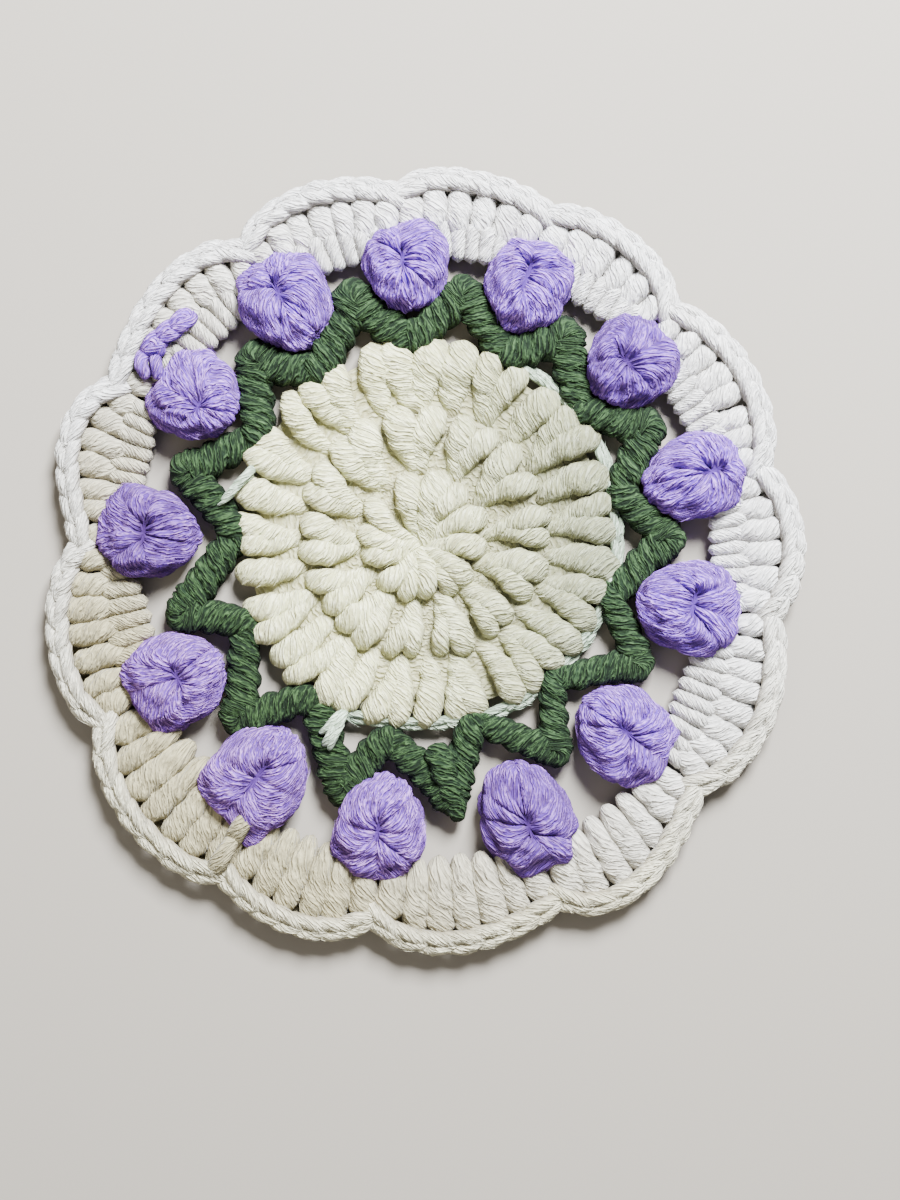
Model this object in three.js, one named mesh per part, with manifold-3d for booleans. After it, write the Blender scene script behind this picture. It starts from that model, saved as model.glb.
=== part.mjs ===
import * as THREE from "three";
import { mergeVertices } from "three/addons/utils/BufferGeometryUtils.js";
import Module from "manifold-3d";

// A round crocheted coaster that lies flat, in millimetres, +Z up, origin under the middle of its outline.
// From the middle out: a cream disc of three rounds, a green zigzag round, thirteen lavender tulip
// bobbles held in the zigzag, and an off-white border of thirteen shells.

const wasm = await Module();
wasm.setup();

const degree = Math.PI / 180;
const gap = 0.3; // clearance between neighbouring pieces
const postsPerShell = 7;

// Cream disc. Its first round's middle is not the middle of the coaster, as in any hand-made one.
const disc = {
  middleX: -0.5, middleY: 2.1, columns: 117,
  pitHeight: 2.5, middleHeight: 3.0, postHeight: 4.1, rimHeight: 1.9, rimBulge: 0.25, footInset: 0.9,
};
// Rings of points across each round, and how far each one rises from the pits to the top of the posts
const discRings = [
  { across: 0.16, rise: 0.45 },
  { across: 0.62, rise: 1.0 },
  { across: 1.0, rise: 0.15 },
];
const grooveRise = 0.35; // the same between two posts
const discRounds = [
  { end: "first", posts: 13, turn: 6 },
  { end: "second", posts: 26, turn: 2 },
  { end: "third", posts: 39, turn: 5 },
];
// Distance from the disc's middle to the end of each round, in eight directions
const discReach = [
  { angle: 0, first: 9.6, second: 19.7, third: 31.0 },
  { angle: 45, first: 11.2, second: 21.4, third: 32.8 },
  { angle: 90, first: 12.2, second: 22.2, third: 33.2 },
  { angle: 135, first: 11.0, second: 21.2, third: 32.4 },
  { angle: 180, first: 9.6, second: 19.2, third: 29.8 },
  { angle: 225, first: 8.6, second: 18.2, third: 30.0 },
  { angle: 270, first: 7.4, second: 17.1, third: 28.0 },
  { angle: 315, first: 8.4, second: 18.0, third: 29.2 },
];

// Green round: a root under each tulip and a peak after it, as distance and angle from the coaster's middle
const leg = {
  halfWidth: 3.0, halfHeight: 2.1, middleHeight: 1.75, overrun: 2.0, taper: 6, lift: 0.45,
  wraps: 3, wrapDepth: 0.08, stations: 8, endStations: 2, sides: 6,
};
const zigzag = [
  { rootReach: 34.7, rootAngle: 93.9, peakReach: 42.8, peakAngle: 82.1 },
  { rootReach: 35.1, rootAngle: 68.3, peakReach: 41.6, peakAngle: 58.3 },
  { rootReach: 34.2, rootAngle: 44.1, peakReach: 40.8, peakAngle: 31.0 },
  { rootReach: 32.6, rootAngle: 19.5, peakReach: 38.4, peakAngle: 5.0 },
  { rootReach: 29.9, rootAngle: -10.4, peakReach: 37.4, peakAngle: -26.2 },
  { rootReach: 27.2, rootAngle: -43.2, peakReach: 36.6, peakAngle: -55.7 },
  { rootReach: 26.5, rootAngle: -73.5, peakReach: 37.6, peakAngle: -84.0 },
  { rootReach: 28.5, rootAngle: -102.6, peakReach: 38.3, peakAngle: -109.8 },
  { rootReach: 28.3, rootAngle: -129.7, peakReach: 38.8, peakAngle: -140.2 },
  { rootReach: 29.9, rootAngle: -160.8, peakReach: 39.3, peakAngle: -168.0 },
  { rootReach: 30.4, rootAngle: -188.7, peakReach: 40.4, peakAngle: -200.6 },
  { rootReach: 33.3, rootAngle: -216.2, peakReach: 41.7, peakAngle: -229.7 },
  { rootReach: 34.3, rootAngle: -239.7, peakReach: 42.8, peakAngle: -254.6 },
];
// Where the green round begins and ends, its two ends are drawn together into one longer tip
const joinTip = { peak: 6, reach: 42.6, angle: -82.7 };

// Tulips: middle, width across, length outwards, and the petal tips that stand out of the oval
const tulip = {
  height: 7.9, middleHeight: 3.7, dimple: 0.9, dimpleReach: 0.35, lobes: 5, lobeDepth: 0.035, tipWidth: 20,
  rings: 6, topLatitude: 72, columns: 14,
};
const tulips = [
  { x: -2.9, y: 46.2, wide: 13.2, long: 13.8, tips: [[-1.8, 53.5]] },
  { x: 16.0, y: 42.9, wide: 13.0, long: 14.5, tips: [[13.1, 50.2], [19.4, 50.2]] },
  { x: 32.2, y: 31.0, wide: 13.8, long: 14.6, tips: [[32.3, 38.6], [38.0, 35.2]] },
  { x: 41.9, y: 13.1, wide: 13.1, long: 15.8, tips: [[47.4, 18.6], [50.4, 14.9]] },
  { x: 41.3, y: -7.4, wide: 14.4, long: 16.3, tips: [[49.2, -5.6]] },
  { x: 30.8, y: -27.0, wide: 13.9, long: 15.8, tips: [[39.6, -26.7], [37.6, -33.8]] },
  { x: 15.3, y: -39.6, wide: 14.3, long: 16.4, tips: [[16.6, -49.2], [22.2, -47.8], [23.6, -40.6]] },
  { x: -7.2, y: -41.8, wide: 14.4, long: 15.8, tips: [[-10.1, -50.2], [-4.2, -49.4]] },
  { x: -26.5, y: -34.1, wide: 15.2, long: 17.4, tips: [[-28.2, -44.0]] },
  { x: -39.3, y: -18.7, wide: 14.4, long: 16.0, tips: [[-41.8, -26.9], [-46.9, -21.4]] },
  { x: -43.6, y: 4.5, wide: 14.5, long: 15.4, tips: [[-51.4, 3.4]] },
  { x: -36.2, y: 25.8, wide: 13.6, long: 14.2, tips: [[-39.4, 37.2], [-44.5, 34.4]] },
  { x: -21.8, y: 40.5, wide: 14.3, long: 15.0, tips: [[-25.0, 48.2], [-29.4, 44.4]] },
];

// Border: the notch at each tulip, the crest of the shell after it, and that shell's inner edge
const border = {
  hiddenEdge: 49.4, ribHeight: 4.5, valleyHeight: 3.2, cordHeight: 5.0, cordWidth: 3.4, sideHeight: 2.3,
  fingerReach: 0.5, scallopPower: 0.68, innerPower: 2.4, footInset: 1.0, columnsPerPost: 3,
};
const borderShells = [
  { notch: 60.0, notchAngle: 94.4, crest: 62.6, crestAngle: 85.7, inner: 48.3 },
  { notch: 60.1, notchAngle: 70.4, crest: 61.8, crestAngle: 61.0, inner: 47.4 },
  { notch: 57.4, notchAngle: 45.9, crest: 60.6, crestAngle: 31.0, inner: 46.4 },
  { notch: 56.8, notchAngle: 15.2, crest: 60.3, crestAngle: 3.0, inner: 45.4 },
  { notch: 57.3, notchAngle: -9.0, crest: 61.1, crestAngle: -27.0, inner: 44.8 },
  { notch: 57.8, notchAngle: -39.8, crest: 63.4, crestAngle: -59.0, inner: 48.4 },
  { notch: 59.5, notchAngle: -68.4, crest: 62.7, crestAngle: -86.0, inner: 47.2 },
  { notch: 58.9, notchAngle: -98.6, crest: 63.2, crestAngle: -111.0, inner: 47.6 },
  { notch: 61.1, notchAngle: -122.5, crest: 64.0, crestAngle: -135.0, inner: 47.0 },
  { notch: 59.0, notchAngle: -153.1, crest: 61.8, crestAngle: -164.0, inner: 44.9 },
  { notch: 56.5, notchAngle: -182.6, crest: 61.8, crestAngle: -201.0, inner: 46.7 },
  { notch: 58.4, notchAngle: -209.4, crest: 62.2, crestAngle: -229.0, inner: 48.0 },
  { notch: 58.7, notchAngle: -239.9, crest: 62.7, crestAngle: -252.0, inner: 48.5 },
];

const yarns = {
  cream: new THREE.MeshStandardMaterial({ color: 0xded8c3, roughness: 0.95, metalness: 0 }),
  green: new THREE.MeshStandardMaterial({ color: 0x587f55, roughness: 0.95, metalness: 0 }),
  lavender: new THREE.MeshStandardMaterial({ color: 0xb29ade, roughness: 0.95, metalness: 0 }),
  white: new THREE.MeshStandardMaterial({ color: 0xe6e3df, roughness: 0.95, metalness: 0 }),
};

const mix = (from, to, share) => from + (to - from) * share;
const range = (count) => Array.from({ length: count }, (_, index) => index);
const polar = (reach, angle) => [reach * Math.cos(angle * degree), reach * Math.sin(angle * degree)];

// A value of the rows around the disc, eased from each direction to the next one
function aroundDisc(column, angle) {
  const rows = discReach.length;
  const turn = (((angle % 360) + 360) % 360) / 360 * rows;
  const index = Math.floor(turn);
  const eased = (1 - Math.cos((turn - index) * Math.PI)) / 2;
  return mix(discReach[index % rows][column], discReach[(index + 1) % rows][column], eased);
}

// A mesh from points and faces, turned so that its faces point out
function closedMesh(points, faces) {
  const geometry = new THREE.BufferGeometry();
  geometry.setAttribute("position", new THREE.Float32BufferAttribute(points.flat(), 3));
  const volume = faces.reduce((sum, [a, b, c]) => {
    const [p, q, r] = [points[a], points[b], points[c]].map((point) => new THREE.Vector3(...point));
    return sum + p.dot(q.cross(r)) / 6;
  }, 0);
  geometry.setIndex(faces.flatMap(([a, b, c]) => (volume > 0 ? [a, b, c] : [a, c, b])));
  return geometry;
}

// Faces of the band between two rings of points, each quad cut along its first diagonal
function bandFaces(lower, upper, columns) {
  return range(columns).flatMap((column) => {
    const next = (column + 1) % columns;
    return [
      [lower + column, lower + next, upper + next],
      [lower + column, upper + next, upper + column],
    ];
  });
}

// A solid from a stack of rings with one closing point at either end
function ringStack(firstPole, rings, lastPole) {
  const columns = rings[0].length;
  const lastStart = 1 + (rings.length - 1) * columns;
  const poleIndex = 1 + rings.length * columns;
  const faces = range(columns).flatMap((column) => {
    const next = (column + 1) % columns;
    return [[0, 1 + next, 1 + column], [poleIndex, lastStart + column, lastStart + next]];
  });
  for (const ring of range(rings.length - 1)) {
    faces.push(...bandFaces(1 + ring * columns, 1 + (ring + 1) * columns, columns));
  }
  return closedMesh([firstPole, ...rings.flat(), lastPole], faces);
}

// A solid hoop from rings of points that follow each other around its section and close on the first
function hoop(rings) {
  const columns = rings[0].length;
  const faces = range(rings.length).flatMap((ring) =>
    bandFaces(ring * columns, ((ring + 1) % rings.length) * columns, columns),
  );
  return closedMesh(rings.flat(), faces);
}

function asSolid(geometry) {
  const bare = geometry.clone();
  bare.deleteAttribute("normal");
  bare.deleteAttribute("uv");
  const merged = mergeVertices(bare, 1e-4);
  return new wasm.Manifold(new wasm.Mesh({
    numProp: 3,
    vertProperties: new Float32Array(merged.attributes.position.array),
    triVerts: new Uint32Array(merged.index.array),
  }));
}

function asGeometry(solid) {
  const mesh = solid.getMesh();
  const geometry = new THREE.BufferGeometry();
  geometry.setAttribute("position", new THREE.BufferAttribute(mesh.vertProperties, 3));
  geometry.setIndex(new THREE.BufferAttribute(mesh.triVerts, 1));
  return geometry;
}

const joined = (solids) => solids.reduce((whole, solid) => whole.add(solid));

// Cream disc: each round is a ring of plump posts with pits between them, over a flat underside
function discGeometry() {
  const angles = range(disc.columns).map((column) => (column * 360) / disc.columns);
  const place = (reach, angle, height) => {
    const [x, y] = polar(reach, angle);
    return [disc.middleX + x, disc.middleY + y, height];
  };
  const rings = [];
  discRounds.forEach((round, index) => {
    discRings.forEach(({ across, rise }) => {
      rings.push(angles.map((angle) => {
        const start = index === 0 ? 0 : aroundDisc(discRounds[index - 1].end, angle);
        const reach = mix(start, aroundDisc(round.end, angle), across);
        const ridge = Math.sqrt(Math.abs(Math.cos(((angle + round.turn) * degree * round.posts) / 2)));
        return place(reach, angle, mix(disc.pitHeight, disc.postHeight, rise * mix(grooveRise, 1, ridge)));
      }));
    });
  });
  const rim = (inset, height) =>
    angles.map((angle) => place(aroundDisc("third", angle) - inset, angle, height));
  rings.push(rim(-disc.rimBulge, disc.rimHeight), rim(disc.footInset, 0));
  return ringStack(place(0, 0, disc.middleHeight), rings, place(0, 0, 0));
}

// One leg of the zigzag: yarn wrapped round and round from a root to a peak, flat where it lies.
// Raise lifts the leg's far end over its neighbour's. With room, the leg is that much larger all over
// and has no wraps, so that a piece cut by it keeps its distance.
function legGeometry([startX, startY], [endX, endY], raise, room) {
  const length = Math.hypot(endX - startX, endY - startY);
  const [alongX, alongY] = [(endX - startX) / length, (endY - startY) / length];
  const reachAt = (share) => mix(-leg.overrun - room, length + leg.overrun + room, share);
  const stations = range(leg.stations).filter((station) => {
    const fromEnd = Math.min(station, leg.stations - 1 - station);
    return room === 0 || fromEnd < leg.endStations;
  });
  const rings = stations.map((station) => {
    const share = (station + 0.5) / leg.stations;
    const taper = Math.sqrt(1 - Math.abs(2 * share - 1) ** leg.taper);
    const along = reachAt(share);
    return range(leg.sides).map((side) => {
      const turn = ((side + 0.5) / leg.sides) * 2 * Math.PI;
      const wrap = room > 0 ? 1 : Math.cos(turn - share * leg.wraps * 2 * Math.PI);
      const size = 1 + leg.wrapDepth * wrap;
      const across = (leg.halfWidth * size + room) * taper * Math.cos(turn);
      const height = leg.middleHeight + (leg.halfHeight * size + room) * taper * Math.sin(turn);
      return [
        startX + alongX * along - alongY * across,
        startY + alongY * along + alongX * across,
        Math.max(height + raise * share * Math.max(Math.sin(turn), 0), -room),
      ];
    });
  });
  const pole = (share) =>
    [startX + alongX * reachAt(share), startY + alongY * reachAt(share), leg.middleHeight];
  return ringStack(pole(0), rings, pole(1));
}

function leafRound(room) {
  const legs = zigzag.flatMap((row, index) => {
    const next = zigzag[(index + 1) % zigzag.length];
    const peak = polar(row.peakReach, row.peakAngle);
    return [
      legGeometry(polar(row.rootReach, row.rootAngle), peak, leg.lift, room),
      legGeometry(polar(next.rootReach, next.rootAngle), peak, 0, room),
    ];
  });
  const joinPeak = zigzag[joinTip.peak];
  const joinStart = polar(joinPeak.peakReach, joinPeak.peakAngle);
  legs.push(legGeometry(joinStart, polar(joinTip.reach - leg.overrun, joinTip.angle), 0, room));
  return joined(legs.map(asSolid));
}

// A tulip: an oval ball of yarn with shallow lobes, a dimple on top, petal tips outwards and a flat foot,
// room larger all over
function tulipGeometry(row, room) {
  const outward = Math.atan2(row.y, row.x);
  const halfAcross = row.wide / 2;
  const halfLong = row.long / 2;
  const ovalReach = (turn) => 1 / Math.hypot(Math.cos(turn) / halfLong, Math.sin(turn) / halfAcross);
  const tips = row.tips.map(([x, y]) => {
    const turn = Math.atan2(y - row.y, x - row.x) - outward;
    return { turn, extra: Math.hypot(x - row.x, y - row.y) - ovalReach(turn) };
  });
  const outlineAt = (turn) => {
    const lobes = 1 + tulip.lobeDepth * Math.cos(tulip.lobes * turn + row.x);
    const tipReach = tips.map(({ turn: tipTurn, extra }) => {
      const away = Math.atan2(Math.sin(turn - tipTurn), Math.cos(turn - tipTurn)) / degree;
      return extra * Math.exp(-((away / tulip.tipWidth) ** 2));
    });
    return ovalReach(turn) * lobes + Math.max(0, ...tipReach);
  };
  const halfHeight = tulip.height - tulip.middleHeight;
  const ringAt = (latitude) => range(tulip.columns).map((column) => {
    const turn = (column / tulip.columns) * 2 * Math.PI;
    const spread = Math.cos(latitude);
    const reach = (outlineAt(turn) + room) * spread;
    const dimple = latitude > 0 ? tulip.dimple * Math.exp(-((spread / tulip.dimpleReach) ** 2)) : 0;
    const height = tulip.middleHeight + (halfHeight + room) * Math.sin(latitude) - dimple;
    return [
      row.x + reach * Math.cos(turn + outward),
      row.y + reach * Math.sin(turn + outward),
      Math.max(height, -room),
    ];
  });
  const rings = range(tulip.rings).map((ring) => {
    const latitude = mix(-tulip.topLatitude, tulip.topLatitude, ring / (tulip.rings - 1));
    return ringAt(latitude * degree);
  });
  return ringStack([row.x, row.y, -room], rings, [row.x, row.y, tulip.height + room - tulip.dimple]);
}

// Border hoop: scalloped outside, a rib for each post of a shell, and a thick chain cord along its edge
function borderGeometry() {
  const perShell = postsPerShell * border.columnsPerPost;
  const places = borderShells.flatMap((shell, index) => {
    const next = borderShells[(index + 1) % borderShells.length];
    const nextAngle = index === borderShells.length - 1 ? next.notchAngle - 360 : next.notchAngle;
    const crestShare = (shell.crestAngle - shell.notchAngle) / (nextAngle - shell.notchAngle);
    return range(perShell).map((step) => {
      const share = step / perShell;
      const bent = share ** (Math.log(0.5) / Math.log(crestShare)); // 0.5 where the crest is
      const scallop = Math.sin(bent * Math.PI) ** border.scallopPower;
      const notch = mix(shell.notch, next.notch, share);
      const rib = Math.abs(Math.sin(share * postsPerShell * Math.PI));
      const hidden = Math.abs(2 * share - 1) ** border.innerPower;
      return {
        angle: mix(shell.notchAngle, nextAngle, share),
        outer: mix(notch, shell.crest, scallop),
        inner: mix(shell.inner, border.hiddenEdge, hidden) - border.fingerReach * rib,
        rib,
      };
    });
  });
  const ring = (reachAt, heightAt) => places.map((place) => {
    const [x, y] = polar(reachAt(place), place.angle);
    return [x, y, heightAt(place)];
  });
  const ribTop = (share) => (place) => mix(border.valleyHeight, border.ribHeight, place.rib) * share;
  const between = (share) => ({ inner, outer }) => mix(inner, outer - border.cordWidth, share);
  return hoop([
    ring(({ inner }) => inner + border.footInset, () => 0),
    ring(({ outer }) => outer - border.footInset, () => 0),
    ring(({ outer }) => outer, () => border.sideHeight),
    ring(({ outer }) => outer - border.cordWidth / 2, () => border.cordHeight),
    ring(({ outer }) => outer - border.cordWidth, ribTop(0.85)),
    ring(between(0.55), ribTop(1)),
    ring(between(0.12), ribTop(0.95)),
    ring(({ inner }) => inner, () => border.sideHeight),
  ]);
}

const coaster = new THREE.Group();

function addPiece(name, geometry, yarn) {
  const piece = new THREE.Mesh(geometry, yarns[yarn]);
  piece.name = name;
  coaster.add(piece);
}

const tulipRoom = joined(tulips.map((row) => asSolid(tulipGeometry(row, gap))));
const discSolid = asSolid(discGeometry()).subtract(leafRound(gap));
const leafSolid = leafRound(0).subtract(tulipRoom);
const borderSolid = asSolid(borderGeometry()).subtract(tulipRoom);

addPiece("centre_disc", asGeometry(discSolid), "cream");
addPiece("leaf_round", asGeometry(leafSolid), "green");
tulips.forEach((row, index) => {
  addPiece(`tulip_${String(index + 1).padStart(2, "0")}`, tulipGeometry(row, 0), "lavender");
});
addPiece("shell_border", asGeometry(borderSolid), "white");

export default coaster;
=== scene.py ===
import math

import bpy
import numpy as np
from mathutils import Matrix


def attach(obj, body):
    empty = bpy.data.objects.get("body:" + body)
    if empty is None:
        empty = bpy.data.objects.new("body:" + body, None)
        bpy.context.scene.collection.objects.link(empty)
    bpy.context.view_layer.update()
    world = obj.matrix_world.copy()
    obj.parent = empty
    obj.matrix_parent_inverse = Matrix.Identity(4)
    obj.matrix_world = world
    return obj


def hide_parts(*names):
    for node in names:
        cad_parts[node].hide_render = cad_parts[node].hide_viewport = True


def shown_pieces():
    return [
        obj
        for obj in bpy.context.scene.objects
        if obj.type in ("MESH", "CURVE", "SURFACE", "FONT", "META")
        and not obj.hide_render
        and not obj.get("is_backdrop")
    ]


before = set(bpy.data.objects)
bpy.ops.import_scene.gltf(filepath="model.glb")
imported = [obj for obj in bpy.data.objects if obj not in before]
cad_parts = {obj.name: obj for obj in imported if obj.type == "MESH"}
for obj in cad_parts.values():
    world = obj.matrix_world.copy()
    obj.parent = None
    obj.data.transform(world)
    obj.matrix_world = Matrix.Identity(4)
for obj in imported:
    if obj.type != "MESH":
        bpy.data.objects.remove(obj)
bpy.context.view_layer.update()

# A round crocheted coaster, thirteen tulip bobbles in a green zigzag between a cream disc and a
# scalloped off-white border. Sizes are in millimetres and degrees until a mesh is made.
metre = 0.001
restHeight = 0.15
upright = np.array([0.0, 0.0, 1.0])
chance = np.random.default_rng(13)

# Camera first: straight above the work, with the photo's frame of 144 by 192 mm
cameraView = {"lookX": 3.8, "lookY": -6.2, "frameHeight": 192.0, "lens": 50.0, "sensor": 36.0}


def makeCamera(view):
    # distance = frame height * lens / sensor, looking down, with +Y at the top of the picture
    data = bpy.data.cameras.new("overheadCamera")
    data.lens = view["lens"]
    data.sensor_width = view["sensor"]
    data.clip_start, data.clip_end = 0.01, 10.0
    camera = bpy.data.objects.new("overheadCamera", data)
    distance = view["frameHeight"] * view["lens"] / view["sensor"]
    camera.location = (view["lookX"] * metre, view["lookY"] * metre, distance * metre)
    bpy.context.scene.collection.objects.link(camera)
    bpy.context.scene.camera = camera


makeCamera(cameraView)

# Small helpers


def mix(start, end, share):
    # start + (end - start) * share
    return start + (end - start) * share


def smooth(share):
    # 3 s^2 - 2 s^3 on a share held between 0 and 1
    held = np.clip(share, 0.0, 1.0)
    return held * held * (3.0 - 2.0 * held)


def unit(vectors):
    # each vector divided by its length
    return vectors / np.maximum(np.linalg.norm(vectors, axis=-1, keepdims=True), 1e-9)


def namedRows(names, rows):
    # a table: the values of each row under the names of its columns
    return [dict(zip(names.split(), row)) for row in rows]


def column(rows, name):
    # one named column of a table as an array
    return np.array([row[name] for row in rows], float)


def polar(reach, angle):
    # (reach cos angle, reach sin angle), angle in degrees
    turn = np.radians(angle)
    return np.stack([reach * np.cos(turn), reach * np.sin(turn)], axis=-1)


def raised(place, height):
    # flat points (x, y) as (x, y, height)
    height = np.broadcast_to(np.asarray(height, float)[..., None], (*place.shape[:-1], 1))
    return np.concatenate([place, height], axis=-1)


def roundedEnds(part, power, top=1.0):
    # sqrt(top - |2 part - 1|^power): near 1 along a strand, closing at both of its ends
    return np.sqrt(top - np.abs(2 * part - 1) ** power)


def travelled(hops):
    # the running sum of the hops along each strand, from 0
    return np.concatenate([np.zeros((len(hops), 1)), np.cumsum(hops, axis=1)], axis=1)


def scatter(count, spread):
    # even chance from -spread to +spread, one value for each strand
    return chance.uniform(-spread, spread, (count, 1))


def unevenness(x, y):
    # a sum of slow waves across the work, between about -1 and 1
    return (np.sin(x * 0.11 + 1.3) * np.cos(y * 0.13 - 0.4) + 0.6 * np.sin(x * 0.23 - y * 0.19)) / 1.6


# Yarn: a soft strand of fine plies, carried along a path

yarn = {"plyWidth": 0.72, "wander": 0.05, "wanderLength": 5.0, "lightAside": 0.15, "darkEnds": 0.8}
mapSpan = 500  # each strand starts by chance at a place of the noise within this many millimetres or plies
nearlyOne = 1.0001  # keeps the ends of a strand just open


def creaseShade(facing, share=1.0):
    # painted shade: 1 - smooth(facing + light aside) * smooth(share / dark ends): 0 on a strand's outer
    # half, facing being 1 straight out, and 1 where it turns in, or where its size, as a share of its
    # largest, is small
    return 1 - smooth(facing + yarn["lightAside"]) * smooth(share / yarn["darkEnds"])


def closeTubes(ring, ends, u, v, tint, shade):
    # quads between the rings of each strand, and a fan of triangles to each of its two end points; u and v
    # are its map, tint and shade its values for each point
    strands, steps, sides = ring.shape[:3]
    points = np.concatenate([ring.reshape(strands, -1, 3), ends], axis=1)
    perStrand = steps * sides + 2
    first = (np.arange(strands) * perStrand)[:, None, None]
    step, side = np.meshgrid(np.arange(steps - 1), np.arange(sides), indexing="ij")
    nextSide = (side + 1) % sides
    here = np.stack([step * sides + side, step * sides + nextSide,
                     (step + 1) * sides + nextSide, (step + 1) * sides + side], axis=-1)
    quads = (first[..., None] + here[None]).reshape(-1, 4)
    edge, nextEdge = np.arange(sides), (np.arange(sides) + 1) % sides
    last = (steps - 1) * sides
    caps = np.concatenate([
        np.stack([np.full(sides, perStrand - 2), nextEdge, edge], axis=-1),
        np.stack([np.full(sides, perStrand - 1), last + edge, last + nextEdge], axis=-1),
    ])
    triangles = (first + caps[None]).reshape(-1, 3)
    u = np.broadcast_to(u, (strands, steps, sides + 1))
    v = np.broadcast_to(v, (strands, steps, sides + 1))
    quadMap = [np.stack([m[:, :-1, :-1], m[:, :-1, 1:], m[:, 1:, 1:], m[:, 1:, :-1]], axis=-1)
               for m in (u, v)]
    capMap = [np.concatenate([np.stack([m[:, row, :-1], m[:, row, 1:], m[:, row, :-1]], axis=-1)
                              for row in (0, -1)], axis=1) for m in (u, v)]
    perPoint = [np.concatenate([value.reshape(strands, -1), value[:, [0, -1]].mean(-1)], axis=1).ravel()
                for value in (tint, np.broadcast_to(shade, tint.shape))]
    return {
        "points": points.reshape(-1, 3),
        "quads": quads,
        "triangles": triangles,
        "quadMap": np.stack(quadMap, axis=-1).reshape(-1, 2),
        "triangleMap": np.stack(capMap, axis=-1).reshape(-1, 2),
        "tint": perPoint[0],
        "shade": perPoint[1],
    }


def carryYarn(paths, outward, thick, wide, twistLength, sides=14):
    # ring point k = path + outward * thick * cos a + sideways * wide * sin a, with thick and wide half
    # sizes and a = 360 k / sides + 360 * distance along / twist length, so that the plies wind around;
    # plies counted around the strand = girth / ply width
    strands, steps = paths.shape[:2]
    along = unit(np.gradient(paths, axis=1))
    out = unit(outward - (outward * along).sum(-1, keepdims=True) * along)
    sideways = np.cross(along, out)
    distance = travelled(np.linalg.norm(np.diff(paths, axis=1), axis=-1))
    start = chance.uniform(0, 2 * np.pi, (strands, 1))
    wander = 1 + yarn["wander"] * np.sin(distance / yarn["wanderLength"] * 2 * np.pi + start * 3)
    halfThick = np.broadcast_to(thick, (strands, steps)) * wander
    halfWide = np.broadcast_to(wide, (strands, steps)) * wander
    turn = np.arange(sides) / sides * 2 * np.pi + (start + distance / twistLength * 2 * np.pi)[..., None]
    girth = 2 * np.pi * math.sqrt((np.median(halfThick) ** 2 + np.median(halfWide) ** 2) / 2)
    plies = max(3, round(girth / yarn["plyWidth"]))
    ring = (paths[:, :, None, :]
            + out[:, :, None, :] * (halfThick[..., None] * np.cos(turn))[..., None]
            + sideways[:, :, None, :] * (halfWide[..., None] * np.sin(turn))[..., None])
    u = distance[:, :, None] + chance.uniform(0, mapSpan, (strands, 1, 1))
    v = np.arange(sides + 1) / sides * plies + chance.integers(0, mapSpan, (strands, 1, 1))
    tint = np.broadcast_to(chance.uniform(-1, 1, (strands, 1, 1)), ring.shape[:3])
    shade = creaseShade(np.cos(turn))
    part = closeTubes(ring, paths[:, [0, -1]], u, v, tint, shade)
    part["surface"] = {"ring": ring, "axis": paths, "climb": np.zeros((strands, steps)), "shade": shade}
    return part


wound = {
    "sides": 20, "fullness": 0.86, "grooveShape": 0.7, "grooveMiddle": 0.6, "lump": 0.05, "lumpLength": 4.0,
    "lumpTwist": 1.3, "noiseAlong": 0.5, "noiseAround": 0.85, "tintStep": 12.9,
}


def wrapRidge(wrap):
    # |sin(180 wrap)|^groove shape - groove middle: low between two wraps, and high along the middle of each
    return np.abs(np.sin(np.pi * wrap)) ** wound["grooveShape"] - wound["grooveMiddle"]


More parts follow.
